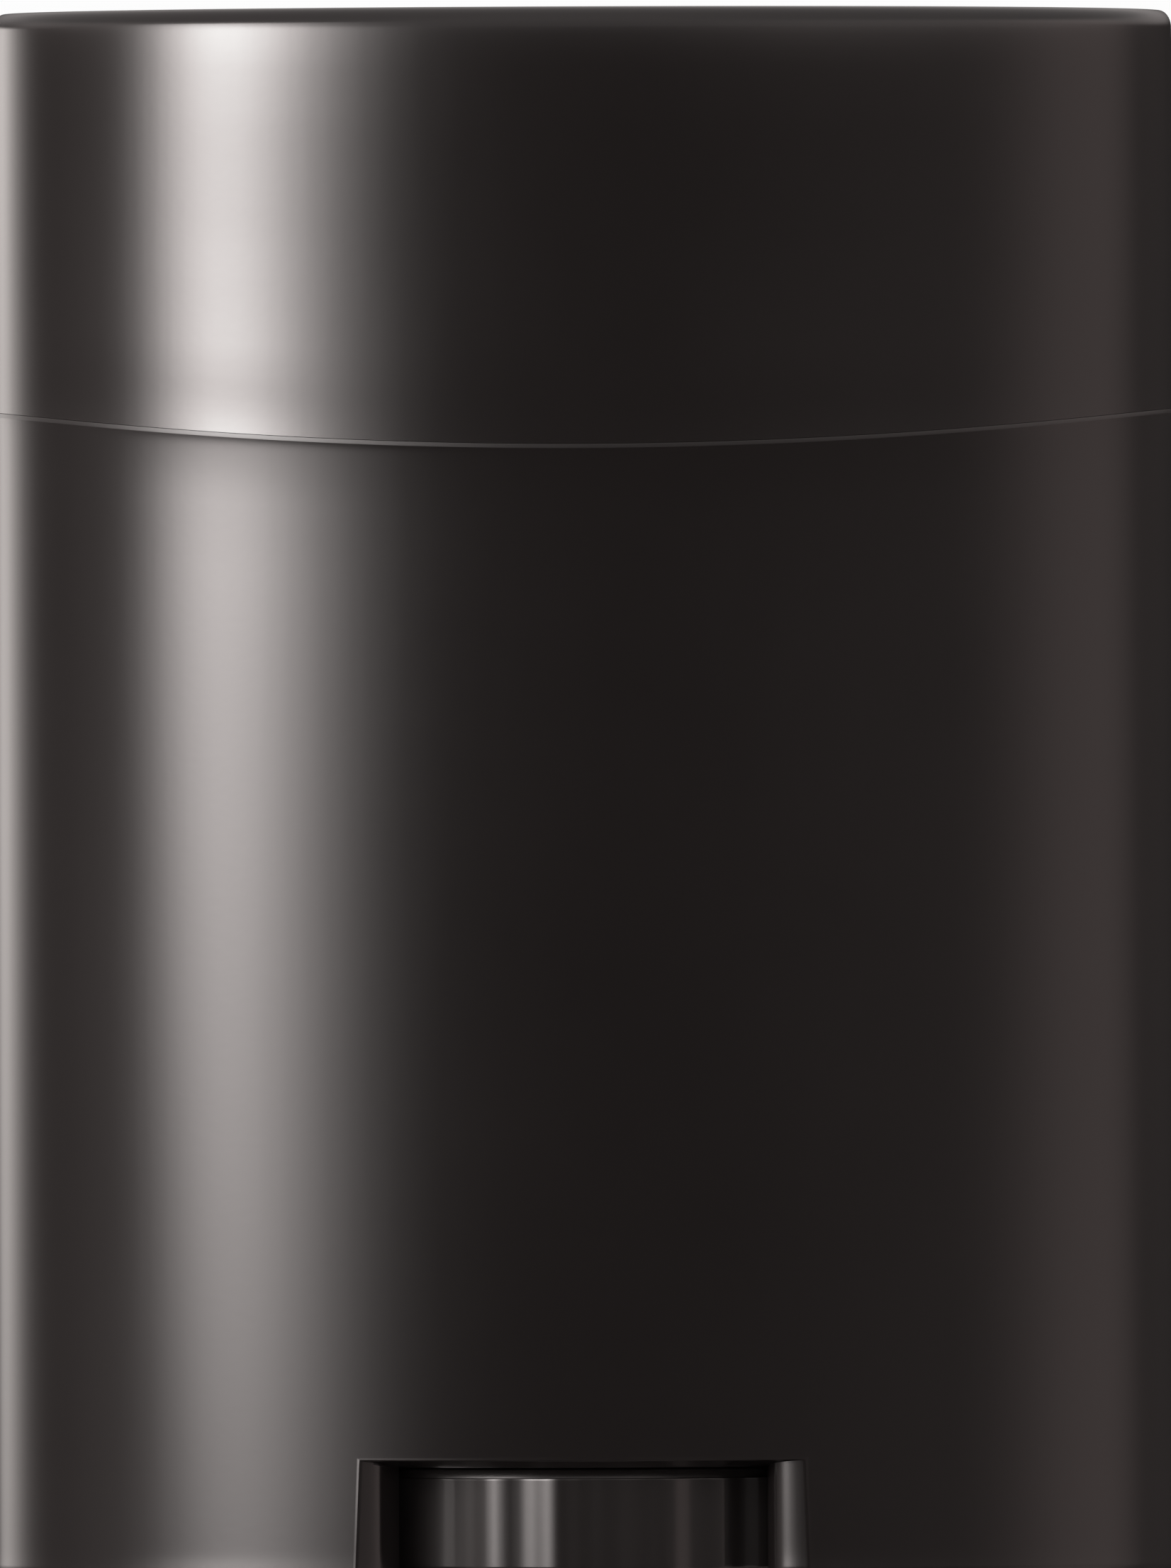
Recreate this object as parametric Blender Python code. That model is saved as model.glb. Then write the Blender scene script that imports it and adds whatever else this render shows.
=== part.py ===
"""Twist-up oval sunscreen stick.

Metres, +Z up.  The stick stands on the plane z = 0 with its centre line on
the Z axis; the front, with the thumb window, faces -Y and the wide side runs
along X.  A thumb wheel at the foot turns a left-hand lead screw, which lifts
the carrier and the bar of product inside an oval barrel.  A clear lid closes
the barrel's neck and an oval cap pulls off upwards.
"""

import math

import bmesh
import bpy

MM = 0.001

# ------------------------------------------------------------------ sizes, mm
HALF_W = 23.5          # outer oval, half of the wide side
HALF_D = 13.0          # outer oval, half of the depth
HEIGHT = 62.3          # over the cap
SEAM_Z = 44.9          # parting line of cap and case at the front centre
SEAM_BOW = 0.00258     # the parting line rises by this times x squared
SEAM_GAP = 0.16        # open joint between cap and case
TOP_FILLET = 0.70      # rounding of the cap's top edge
FOOT_FILLET = 0.60     # rounding of the case's foot

CASE_WALL = 1.3
FOOT_FLOOR = 1.4       # floor thickness of the two hollow feet
POCKET_R = 12.15       # round pocket that the dial turns in
POCKET_WALL_R = 13.35
POCKET_TOP = 4.85
WEB_TOP = 6.05         # top of the web over the dial
WEB_HOLE_R = 4.35
FOOT_INNER_X = 10.2    # the hollow feet start here
FOOT_LEDGE = 0.4       # ledge round the mouth of each hollow foot

WINDOW_TOP = 4.90      # upper edge of the thumb window on the outside
WINDOW_LIP = 4.586     # the same edge where it meets the pocket
WINDOW_HALF = 8.80     # half width on the outside, at the upper edge
WINDOW_DRAFT = 0.0395  # widening per mm downwards
WINDOW_INNER = 7.29    # half width where the flared cheeks meet the pocket

DIAL_R = 11.70         # over the rib crests
DIAL_VALLEY_R = 11.44
DIAL_RIBS = 32
DIAL_STEPS = 6         # points per rib
DIAL_BOTTOM = 0.25
DIAL_TOP = 4.516
DIAL_RIB_TOP = 4.155
DIAL_RIB_FOOT = 0.60
DIAL_SHOULDER_R = 11.40
DIAL_RIM_R = 11.06
DIAL_RECESS_R = 9.6
DIAL_RECESS = 0.50
DIAL_GROOVE_R0 = 5.6   # ring-shaped hollow in the dial's top
DIAL_GROOVE_R1 = 9.9
DIAL_GROOVE_FLOOR = 1.75
DIAL_BOSS_R = 4.05
DIAL_BARB_R = 4.75
DIAL_BOSS_TOP = 7.00
SOCKET_R = 2.80        # hexagonal drive socket, over the corners
SOCKET_FLOOR = 1.45

BARREL_HALF_W = 21.85
BARREL_HALF_D = 11.35
BARREL_SKIRT_W = 20.60
BARREL_SKIRT_D = 10.10
BARREL_FOOT = 6.35
BARREL_FLOOR = 7.30
BARREL_INSIDE = 8.50
BORE_HALF_W = 20.30
BORE_HALF_D = 9.80
BOSS_R = 5.0
BOSS_TOP = 9.10
SHAFT_BORE_R = 3.50
SHOULDER_DROP = 0.40   # the neck starts this far under the parting line
NECK_HALF_W = 21.30
NECK_HALF_D = 10.80
NECK_TOP = 53.60
BEAD_Z = 50.0
BEAD = 0.12

PITCH = 4.0            # lead of the screw, left hand
TURNS = 8.5
CORE_R = 2.30
THREAD_R = 3.20
SPINDLE_TOP = 48.0
THREAD_FROM = 10.8
THREAD_TO = 47.2
THREAD_STEPS = 15      # points per turn
HEX_R = 2.45
HEX_FOOT = 1.75
LAND_R = 3.20
GROOVE_R = 2.00
GROOVE_Z0 = 7.45
GROOVE_Z1 = 8.65
LAND_TOP = 9.10
SEAL_R = 2.75
SEAL_T = 0.45          # radius of the ring's round section
SEAL_Z = 8.05

CARRIER_HALF_W = 20.0
CARRIER_HALF_D = 9.5
CARRIER_FOOT = 8.80
CARRIER_FLOOR = 10.0
CARRIER_RIM = 13.2
CARRIER_RIM_WALL = 0.75
CARRIER_RECESS_R = 5.4
CARRIER_RECESS_TOP = 9.40
HUB_R = 5.0
HUB_TOP = 15.0
LUG_R = 2.68           # the lugs reach in to here
LUG_SPAN = math.radians(64)
LUG_FROM = 11.3

BAR_HALF_W = 20.0
BAR_HALF_D = 9.5
BAR_FOOT = 10.30
BAR_STEP = 13.50
BAR_STEP_IN = 1.05
BAR_EDGE = 48.20
BAR_DOME = 3.0
BAR_HUB_BORE_R = 5.30
BAR_HUB_BORE_TOP = 15.30
BAR_BORE_R = 3.60
BAR_BORE_TOP = 48.60

LID_HALF_W = 21.0
LID_HALF_D = 10.5
LID_TOP = 54.70
LID_UNDER = 54.00
LID_FLANGE = 53.90
LID_SKIRT_W = 20.0
LID_SKIRT_D = 9.5
LID_SKIRT_WALL = 0.80
LID_SKIRT_FOOT = 50.00

CAP_WALL = 0.95
CAP_ROOF = 61.00       # ceiling of the cap shell
LINER_HALF_W = 22.30
LINER_HALF_D = 11.80
LINER_WALL = 0.70
LINER_TOP = 60.70
LINER_ROOF = 59.80
LINER_LIFT = 0.60      # the liner stops this far over the parting line

OVAL_STEPS = 72        # points round the ovals
ROUND_STEPS = 32       # points round the small turned pieces


# -------------------------------------------------------------------- helpers
def clear_scene():
    for obj in list(bpy.data.objects):
        bpy.data.objects.remove(obj, do_unlink=True)


def plastic(name, color, roughness, alpha=1.0, transmission=0.0, metallic=0.0):
    mat = bpy.data.materials.new(name)
    mat.use_nodes = True
    shader = mat.node_tree.nodes["Principled BSDF"]
    shader.inputs["Base Color"].default_value = (*color, 1.0)
    shader.inputs["Roughness"].default_value = roughness
    shader.inputs["Metallic"].default_value = metallic
    shader.inputs["Alpha"].default_value = alpha
    shader.inputs["Transmission Weight"].default_value = transmission
    return mat


def empty(name, parent=None, z=0.0):
    obj = bpy.data.objects.new(name, None)
    obj.empty_display_size = 0.01
    obj.location = (0.0, 0.0, z * MM)
    bpy.context.collection.objects.link(obj)
    if parent is not None:
        obj.parent = parent
    return obj


def mesh_object(name, bm, parent=None, material=None, z=0.0):
    """Make an object from bm, whose points are mm measured from height z."""
    bmesh.ops.recalc_face_normals(bm, faces=bm.faces[:])
    mesh = bpy.data.meshes.new(name)
    bm.to_mesh(mesh)
    bm.free()
    mesh.shade_smooth()
    mesh.set_sharp_from_angle(angle=math.radians(28))
    obj = bpy.data.objects.new(name, mesh)
    bpy.context.collection.objects.link(obj)
    obj.location = (0.0, 0.0, z * MM)
    if parent is not None:
        obj.parent = parent
    if material is not None:
        mesh.materials.append(material)
    return obj


def cutter_object(name, bm, parent, z=0.0):
    obj = mesh_object(name, bm, parent, None, z)
    obj.hide_render = True
    obj.display_type = "WIRE"
    return obj


def boolean(obj, other, operation):
    mod = obj.modifiers.new(operation.lower() + "_" + other.name, "BOOLEAN")
    mod.operation = operation
    mod.solver = "EXACT"
    mod.object = other
    return mod


def oval(half_w, half_d, z, bow=False, steps=OVAL_STEPS):
    """One ring of points on an ellipse; with bow it follows the parting line."""
    ring = []
    for i in range(steps):
        t = 2.0 * math.pi * i / steps
        x, y = half_w * math.cos(t), half_d * math.sin(t)
        ring.append((x, y, z + (SEAM_BOW * x * x if bow else 0.0)))
    return ring


def circle(radius, z, steps=ROUND_STEPS, phase=0.0):
    return [
        (
            radius * math.cos(2.0 * math.pi * i / steps + phase),
            radius * math.sin(2.0 * math.pi * i / steps + phase),
            z,
        )
        for i in range(steps)
    ]


def loft(rings, z0=0.0):
    """Closed body through rings of equal length, both ends capped."""
    bm = bmesh.new()
    rows = [
        [bm.verts.new((x * MM, y * MM, (z - z0) * MM)) for x, y, z in ring]
        for ring in rings
    ]
    count = len(rows[0])
    for low, high in zip(rows, rows[1:]):
        for i in range(count):
            j = (i + 1) % count
            bm.faces.new((low[i], low[j], high[j], high[i]))
    bm.faces.new(list(reversed(rows[0])))
    bm.faces.new(rows[-1])
    return bm


def rounding(radius, steps):
    """Pairs (inset, drop) from the flat face over a rounded edge to the side."""
    pairs = []
    for i in range(steps + 1):
        angle = 0.5 * math.pi * i / steps
        pairs.append((radius * (1.0 - math.sin(angle)), radius * (1.0 - math.cos(angle))))
    return pairs


def turned_ring(r_in, r_out, z_low, z_high, z0=0.0, steps=48):
    """Square-section ring round the Z axis."""
    bm = bmesh.new()
    rows = [
        [bm.verts.new((x * MM, y * MM, (z - z0) * MM)) for x, y, z in circle(r, z, steps)]
        for r, z in ((r_in, z_low), (r_out, z_low), (r_out, z_high), (r_in, z_high))
    ]
    for a, b in zip(rows, rows[1:] + rows[:1]):
        for i in range(steps):
            j = (i + 1) % steps
            bm.faces.new((a[i], a[j], b[j], b[i]))
    return bm


def prism(points, z_low, z_high, z0=0.0):
    return loft([[(x, y, z_low) for x, y in points], [(x, y, z_high) for x, y in points]], z0)


def sweep_helix(section, angle_from, angle_to, z_at, steps, z0=0.0):
    """Body swept along a helix.

    section holds (radius, height above the helix); z_at gives the helix's
    height at an angle.
    """
    bm = bmesh.new()
    rows = []
    for k in range(steps + 1):
        angle = angle_from + (angle_to - angle_from) * k / steps
        base = z_at(angle)
        rows.append(
            [
                bm.verts.new(
                    (
                        r * math.cos(angle) * MM,
                        r * math.sin(angle) * MM,
                        (base + h - z0) * MM,
                    )
                )
                for r, h in section
            ]
        )
    count = len(section)
    for low, high in zip(rows, rows[1:]):
        for i in range(count):
            j = (i + 1) % count
            bm.faces.new((low[i], low[j], high[j], high[i]))
    bm.faces.new(list(reversed(rows[0])))
    bm.faces.new(rows[-1])
    return bm


# --------------------------------------------------------------- frame pieces
def build_case(root, material):
    rings = []
    for inset, drop in rounding(FOOT_FILLET, 4):
        rings.append(oval(HALF_W - inset, HALF_D - inset, drop))
    rings.append(oval(HALF_W, HALF_D, SEAM_Z - 0.5 * SEAM_GAP, True))
    rings.append(oval(HALF_W - CASE_WALL, HALF_D - CASE_WALL, SEAM_Z - 0.5 * SEAM_GAP, True))
    rings.append(oval(HALF_W - CASE_WALL, HALF_D - CASE_WALL, WEB_TOP))
    case = mesh_object("outer_case", loft(rings), root, material)

    pocket = cutter_object(
        "cut_dial_pocket", loft([circle(POCKET_R, -2.0, 64), circle(POCKET_R, POCKET_TOP, 64)]), root
    )
    hole = cutter_object(
        "cut_web_hole", loft([circle(WEB_HOLE_R, 3.0), circle(WEB_HOLE_R, WEB_TOP + 2.0)]), root
    )
    boolean(case, pocket, "DIFFERENCE")
    boolean(case, hole, "DIFFERENCE")
    for side in (-1, 1):
        boolean(case, build_foot_void(root, side), "DIFFERENCE")
        boolean(case, build_window_cutter(root, side), "DIFFERENCE")
    return case


def build_foot_void(root, side):
    """Hollow of one foot: between the outer wall and the dial's pocket."""
    half_w = HALF_W - CASE_WALL - FOOT_LEDGE
    half_d = HALF_D - CASE_WALL - FOOT_LEDGE
    reach = math.acos(FOOT_INNER_X / half_w)
    outline = []
    for k in range(13):
        t = -reach + 2.0 * reach * k / 12
        outline.append((side * half_w * math.cos(t), half_d * math.sin(t)))
    swing = math.acos(FOOT_INNER_X / POCKET_WALL_R)
    for k in range(9):
        t = swing - 2.0 * swing * k / 8
        outline.append((side * POCKET_WALL_R * math.cos(t), POCKET_WALL_R * math.sin(t)))
    name = "cut_foot_left" if side < 0 else "cut_foot_right"
    return cutter_object(name, prism(outline, FOOT_FLOOR, WEB_TOP + 1.0), root)


def build_window_cutter(root, side):
    """Flared window, front for side -1 and back for side 1.

    Its lines run from the inner edge, on the dial's pocket, to the outer edge
    on the oval; the cutter reaches past both.
    """
    columns = 12
    bm = bmesh.new()
    grid = []
    for k in range(columns + 1):
        u = -1.0 + 2.0 * k / columns
        column = []
        for z_out, z_in in ((WINDOW_TOP, WINDOW_LIP), (-1.0, -1.0)):
            half = WINDOW_HALF + WINDOW_DRAFT * (WINDOW_TOP - z_out)
            xi = WINDOW_INNER * u
            inner = (xi, -math.sqrt(POCKET_R**2 - xi**2), z_in)
            xo = half * u
            outer = (xo, -HALF_D * math.sqrt(1.0 - (xo / HALF_W) ** 2), z_out)
            for reach in (-0.25, 1.45):
                point = [i + (o - i) * reach for i, o in zip(inner, outer)]
                column.append(
                    bm.verts.new((point[0] * MM, -side * point[1] * MM, point[2] * MM))
                )
        grid.append(column)
    for a, b in zip(grid, grid[1:]):
        bm.faces.new((a[0], a[1], b[1], b[0]))
        bm.faces.new((a[1], a[3], b[3], b[1]))
        bm.faces.new((a[3], a[2], b[2], b[3]))
        bm.faces.new((a[2], a[0], b[0], b[2]))
    first, last = grid[0], grid[-1]
    bm.faces.new((first[0], first[2], first[3], first[1]))
    bm.faces.new((last[0], last[1], last[3], last[2]))
    name = "cut_window_front" if side < 0 else "cut_window_back"
    return cutter_object(name, bm, root)


def build_barrel(root, material):
    neck = SEAM_Z - SHOULDER_DROP
    rings = [
        oval(BARREL_SKIRT_W, BARREL_SKIRT_D, BARREL_FLOOR),
        oval(BARREL_SKIRT_W, BARREL_SKIRT_D, BARREL_FOOT),
        oval(BARREL_HALF_W, BARREL_HALF_D, BARREL_FOOT),
        oval(BARREL_HALF_W, BARREL_HALF_D, neck, True),
        oval(NECK_HALF_W, NECK_HALF_D, neck, True),
        oval(NECK_HALF_W, NECK_HALF_D, BEAD_Z - 0.4),
        oval(NECK_HALF_W + BEAD, NECK_HALF_D + BEAD, BEAD_Z),
        oval(NECK_HALF_W, NECK_HALF_D, BEAD_Z + 0.4),
        oval(NECK_HALF_W, NECK_HALF_D, NECK_TOP - 0.25),
        oval(NECK_HALF_W - 0.25, NECK_HALF_D - 0.25, NECK_TOP),
        oval(BORE_HALF_W, BORE_HALF_D, NECK_TOP),
        oval(BORE_HALF_W, BORE_HALF_D, BARREL_INSIDE),
    ]
    z0 = BARREL_FOOT
    barrel = mesh_object("inner_barrel", loft(rings, z0), root, material, z0)
    boss = cutter_object(
        "add_shaft_boss",
        loft([circle(BOSS_R, BARREL_INSIDE - 0.6), circle(BOSS_R, BOSS_TOP)], z0),
        root,
        z0,
    )
    bore = cutter_object(
        "cut_shaft_bore",
        loft([circle(SHAFT_BORE_R, BARREL_FLOOR - 1.0), circle(SHAFT_BORE_R, BOSS_TOP + 1.0)], z0),
        root,
        z0,
    )
    boolean(barrel, boss, "UNION")
    boolean(barrel, bore, "DIFFERENCE")
    return barrel


# ------------------------------------------------------------ turning pieces
def ribbed_ring(z):
    """Ribbed outline of the dial; a valley, not a crest, lies at the front centre."""
    ring = []
    steps = DIAL_RIBS * DIAL_STEPS
    middle = 0.5 * (DIAL_R + DIAL_VALLEY_R)
    swing = 0.5 * (DIAL_R - DIAL_VALLEY_R)
    for i in range(steps):
        t = 2.0 * math.pi * i / steps
        r = middle - swing * math.cos(DIAL_RIBS * t)
        ring.append((r * math.cos(t), r * math.sin(t), z))
    return ring


def build_dial(pivot, material):
    steps = DIAL_RIBS * DIAL_STEPS
    z0 = DIAL_BOTTOM
    rings = [
        circle(DIAL_RIM_R, DIAL_BOTTOM, steps),
        circle(DIAL_SHOULDER_R, DIAL_RIB_FOOT, steps),
        ribbed_ring(DIAL_RIB_FOOT + 0.02),
        ribbed_ring(DIAL_RIB_TOP),
        circle(DIAL_SHOULDER_R, DIAL_RIB_TOP + 0.02, steps),
        circle(DIAL_RIM_R, DIAL_TOP, steps),
    ]
    dial = mesh_object("dial", loft(rings, z0), pivot, material, z0)
    boss = cutter_object(
        "add_dial_boss",
        loft(
            [
                circle(DIAL_BOSS_R, DIAL_TOP - 1.0),
                circle(DIAL_BOSS_R, WEB_TOP + 0.30),
                circle(DIAL_BARB_R, WEB_TOP + 0.30),
                circle(DIAL_BARB_R, WEB_TOP + 0.50),
                circle(DIAL_BOSS_R, DIAL_BOSS_TOP),
            ],
            z0,
        ),
        pivot,
        z0,
    )
    recess = cutter_object(
        "cut_dial_recess",
        loft(
            [
                circle(DIAL_RECESS_R, DIAL_BOTTOM - 1.0, 48),
                circle(DIAL_RECESS_R, DIAL_BOTTOM + DIAL_RECESS, 48),
            ],
            z0,
        ),
        pivot,
        z0,
    )
    socket = cutter_object(
        "cut_drive_socket",
        loft([circle(SOCKET_R, SOCKET_FLOOR, 6), circle(SOCKET_R, DIAL_BOSS_TOP + 1.0, 6)], z0),
        pivot,
        z0,
    )
    hollow = cutter_object(
        "cut_dial_hollow",
        turned_ring(DIAL_GROOVE_R0, DIAL_GROOVE_R1, DIAL_GROOVE_FLOOR, DIAL_TOP + 0.7, z0),
        pivot,
        z0,
    )
    boolean(dial, hollow, "DIFFERENCE")
    boolean(dial, boss, "UNION")
    boolean(dial, recess, "DIFFERENCE")
    boolean(dial, socket, "DIFFERENCE")
    return dial


def thread_height(angle):
    """Height of the thread's middle at an angle: left hand, so it falls."""
    return THREAD_FROM - PITCH * angle / (2.0 * math.pi)


def build_spindle(pivot, material):
    z0 = HEX_FOOT
    steps = 24
    rings = [
        circle(LAND_R - 0.20, DIAL_BOSS_TOP + 0.25, steps),
        circle(LAND_R, DIAL_BOSS_TOP + 0.35, steps),
        circle(LAND_R, GROOVE_Z0, steps),
        circle(GROOVE_R, GROOVE_Z0, steps),
        circle(GROOVE_R, GROOVE_Z1, steps),
        circle(LAND_R, GROOVE_Z1, steps),
        circle(LAND_R, LAND_TOP, steps),
        circle(CORE_R, LAND_TOP + 0.25, steps),
        circle(CORE_R, SPINDLE_TOP - 0.5, steps),
        circle(CORE_R - 0.5, SPINDLE_TOP, steps),
    ]
    spindle = mesh_object("spindle", loft(rings, z0), pivot, material, z0)
    shank = cutter_object(
        "add_hex_shank",
        loft(
            [
                circle(HEX_R - 0.3, HEX_FOOT, 6),
                circle(HEX_R, HEX_FOOT + 0.3, 6),
                circle(HEX_R, DIAL_BOSS_TOP + 0.40, 6),
            ],
            z0,
        ),
        pivot,
        z0,
    )
    section = [
        (CORE_R - 0.25, -0.90),
        (THREAD_R, -0.40),
        (THREAD_R, 0.40),
        (CORE_R - 0.25, 0.90),
    ]
    turns = (THREAD_TO - THREAD_FROM) / PITCH
    thread = cutter_object(
        "add_thread",
        sweep_helix(
            section,
            0.0,
            -2.0 * math.pi * turns,
            thread_height,
            int(round(THREAD_STEPS * turns)),
            z0,
        ),
        pivot,
        z0,
    )
    boolean(spindle, shank, "UNION")
    boolean(spindle, thread, "UNION")
    return spindle


def build_seal(pivot, material):
    bm = bmesh.new()
    around, across = 32, 10
    rows = []
    for i in range(around):
        t = 2.0 * math.pi * i / around
        row = []
        for j in range(across):
            s = 2.0 * math.pi * j / across
            r = SEAL_R + SEAL_T * math.cos(s)
            row.append(
                bm.verts.new((r * math.cos(t) * MM, r * math.sin(t) * MM, SEAL_T * math.sin(s) * MM))
            )
        rows.append(row)
    for i in range(around):
        a, b = rows[i], rows[(i + 1) % around]
        for j in range(across):
            k = (j + 1) % across
            bm.faces.new((a[j], b[j], b[k], a[k]))
    return mesh_object("spindle_seal", bm, pivot, material, SEAL_Z)


# ------------------------------------------------------------- lifting pieces
def build_carrier(slide, material):
    z0 = CARRIER_FOOT
    rings = [
        oval(CARRIER_HALF_W, CARRIER_HALF_D, CARRIER_FOOT),
        oval(CARRIER_HALF_W, CARRIER_HALF_D, CARRIER_RIM),
        oval(CARRIER_HALF_W - CARRIER_RIM_WALL, CARRIER_HALF_D - CARRIER_RIM_WALL, CARRIER_RIM),
        oval(CARRIER_HALF_W - CARRIER_RIM_WALL, CARRIER_HALF_D - CARRIER_RIM_WALL, CARRIER_FLOOR),
    ]
    carrier = mesh_object("carrier", loft(rings, z0), slide, material, z0)
    hub = cutter_object(
        "add_hub",
        loft([circle(HUB_R, CARRIER_FLOOR - 0.4), circle(HUB_R, HUB_TOP)], z0),
        slide,
        z0,
    )
    recess = cutter_object(
        "cut_carrier_recess",
        loft(
            [
                circle(CARRIER_RECESS_R, CARRIER_FOOT - 1.0),
                circle(CARRIER_RECESS_R, CARRIER_RECESS_TOP),
            ],
            z0,
        ),
        slide,
        z0,
    )
    bore = cutter_object(
        "cut_hub_bore",
        loft([circle(SHAFT_BORE_R, CARRIER_FOOT - 1.0), circle(SHAFT_BORE_R, HUB_TOP + 1.0)], z0),
        slide,
        z0,
    )
    boolean(carrier, hub, "UNION")
    boolean(carrier, recess, "DIFFERENCE")
    boolean(carrier, bore, "DIFFERENCE")
    section = [
        (LUG_R, -0.40),
        (SHAFT_BORE_R + 0.6, -0.70),
        (SHAFT_BORE_R + 0.6, 0.70),
        (LUG_R, 0.40),
    ]
    for number, start in ((1, math.radians(93)), (2, math.radians(273))):
        # each lug lies midway between two ridges, at the first such height in the hub
        turn = math.ceil((LUG_FROM - thread_height(start)) / PITCH - 0.5)
        lug = cutter_object(
            "add_lug_%d" % number,
            sweep_helix(
                section,
                start + 0.5 * LUG_SPAN,
                start - 0.5 * LUG_SPAN,
                lambda angle, turn=turn: thread_height(angle) + PITCH * (turn + 0.5),
                5,
                z0,
            ),
            slide,
            z0,
        )
        boolean(carrier, lug, "UNION")
    return carrier


def build_bar(slide, material):
    z0 = BAR_FOOT
    rings = [
        oval(BAR_HALF_W - BAR_STEP_IN, BAR_HALF_D - BAR_STEP_IN, BAR_FOOT),
        oval(BAR_HALF_W - BAR_STEP_IN, BAR_HALF_D - BAR_STEP_IN, BAR_STEP),
        oval(BAR_HALF_W, BAR_HALF_D, BAR_STEP),
    ]
    for k in range(7):
        angle = math.radians(80.0 * k / 6)
        rings.append(
            oval(
                BAR_HALF_W * math.cos(angle),
                BAR_HALF_D * math.cos(angle),
                BAR_EDGE + BAR_DOME * math.sin(angle),
            )
        )
    bar = mesh_object("product_bar", loft(rings, z0), slide, material, z0)
    bore = cutter_object(
        "cut_bar_bore",
        loft(
            [
                circle(BAR_HUB_BORE_R, BAR_FOOT - 1.0),
                circle(BAR_HUB_BORE_R, BAR_HUB_BORE_TOP),
                circle(BAR_BORE_R, BAR_HUB_BORE_TOP),
                circle(BAR_BORE_R, BAR_BORE_TOP),
            ],
            z0,
        ),
        slide,
        z0,
    )
    boolean(bar, bore, "DIFFERENCE")
    return bar


def build_lid(slide, material):
    rings = [
        oval(LID_HALF_W - 0.25, LID_HALF_D - 0.25, LID_TOP),
        oval(LID_HALF_W, LID_HALF_D, LID_TOP - 0.25),
        oval(LID_HALF_W, LID_HALF_D, LID_FLANGE),
        oval(LID_SKIRT_W, LID_SKIRT_D, LID_FLANGE),
        oval(LID_SKIRT_W, LID_SKIRT_D, LID_SKIRT_FOOT + 0.4),
        oval(LID_SKIRT_W - 0.2, LID_SKIRT_D - 0.2, LID_SKIRT_FOOT),
        oval(LID_SKIRT_W - LID_SKIRT_WALL, LID_SKIRT_D - LID_SKIRT_WALL, LID_SKIRT_FOOT),
        oval(LID_SKIRT_W - LID_SKIRT_WALL, LID_SKIRT_D - LID_SKIRT_WALL, LID_UNDER),
    ]
    return mesh_object("hygiene_lid", loft(rings, LID_SKIRT_FOOT), slide, material, LID_SKIRT_FOOT)


# ----------------------------------------------------------------- cap pieces
def build_cap_shell(slide, material):
    edge = SEAM_Z + 0.5 * SEAM_GAP
    rings = []
    for inset, drop in rounding(TOP_FILLET, 5):
        rings.append(oval(HALF_W - inset, HALF_D - inset, HEIGHT - drop))
    rings.append(oval(HALF_W, HALF_D, edge, True))
    rings.append(oval(HALF_W - CAP_WALL, HALF_D - CAP_WALL, edge, True))
    rings.append(oval(HALF_W - CAP_WALL, HALF_D - CAP_WALL, CAP_ROOF))
    return mesh_object("cap_shell", loft(rings, SEAM_Z), slide, material, SEAM_Z)


def build_cap_liner(slide, material):
    edge = SEAM_Z + LINER_LIFT
    rings = [
        oval(LINER_HALF_W - 0.5, LINER_HALF_D - 0.5, LINER_TOP),
        oval(LINER_HALF_W, LINER_HALF_D, LINER_TOP - 0.5),
        oval(LINER_HALF_W, LINER_HALF_D, edge, True),
        oval(LINER_HALF_W - LINER_WALL, LINER_HALF_D - LINER_WALL, edge, True),
        oval(LINER_HALF_W - LINER_WALL, LINER_HALF_D - LINER_WALL, LINER_ROOF),
    ]
    return mesh_object("cap_liner", loft(rings, SEAM_Z), slide, material, SEAM_Z)


def main():
    clear_scene()

    root = empty("stick_root")
    dial_pivot = empty("dial_pivot", root)
    carrier_slide = empty("carrier_slide", root)
    lid_slide = empty("lid_slide", carrier_slide)
    cap_slide = empty("cap_slide", lid_slide)

    build_case(root, plastic("case_plastic", (0.012, 0.010, 0.010), 0.22))
    build_barrel(root, plastic("barrel_plastic", (0.72, 0.71, 0.69), 0.42))

    build_dial(dial_pivot, plastic("dial_plastic", (0.013, 0.011, 0.011), 0.20))
    build_spindle(dial_pivot, plastic("spindle_plastic", (0.78, 0.77, 0.74), 0.38))
    build_seal(dial_pivot, plastic("seal_rubber", (0.030, 0.030, 0.032), 0.55))

    build_carrier(carrier_slide, plastic("carrier_plastic", (0.76, 0.75, 0.72), 0.45))
    build_bar(carrier_slide, plastic("sunscreen_wax", (0.86, 0.84, 0.78), 0.50))
    build_lid(lid_slide, plastic("lid_clear", (0.92, 0.94, 0.95), 0.12, 0.35, 0.9))

    build_cap_shell(cap_slide, plastic("cap_plastic", (0.012, 0.010, 0.010), 0.20))
    build_cap_liner(cap_slide, plastic("liner_plastic", (0.020, 0.018, 0.018), 0.45))


main()
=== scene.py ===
"""Looks of the twist-up oval stick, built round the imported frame.

The outside pieces are fine meshes made strip by strip, in millimetres, with a
normal of their own at each corner, so that the long soft reflections run
clean over the oval.  Every piece sits where its CAD node is.
"""

import math

import bpy
from mathutils import Matrix, Vector
from mathutils.geometry import tessellate_polygon


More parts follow.
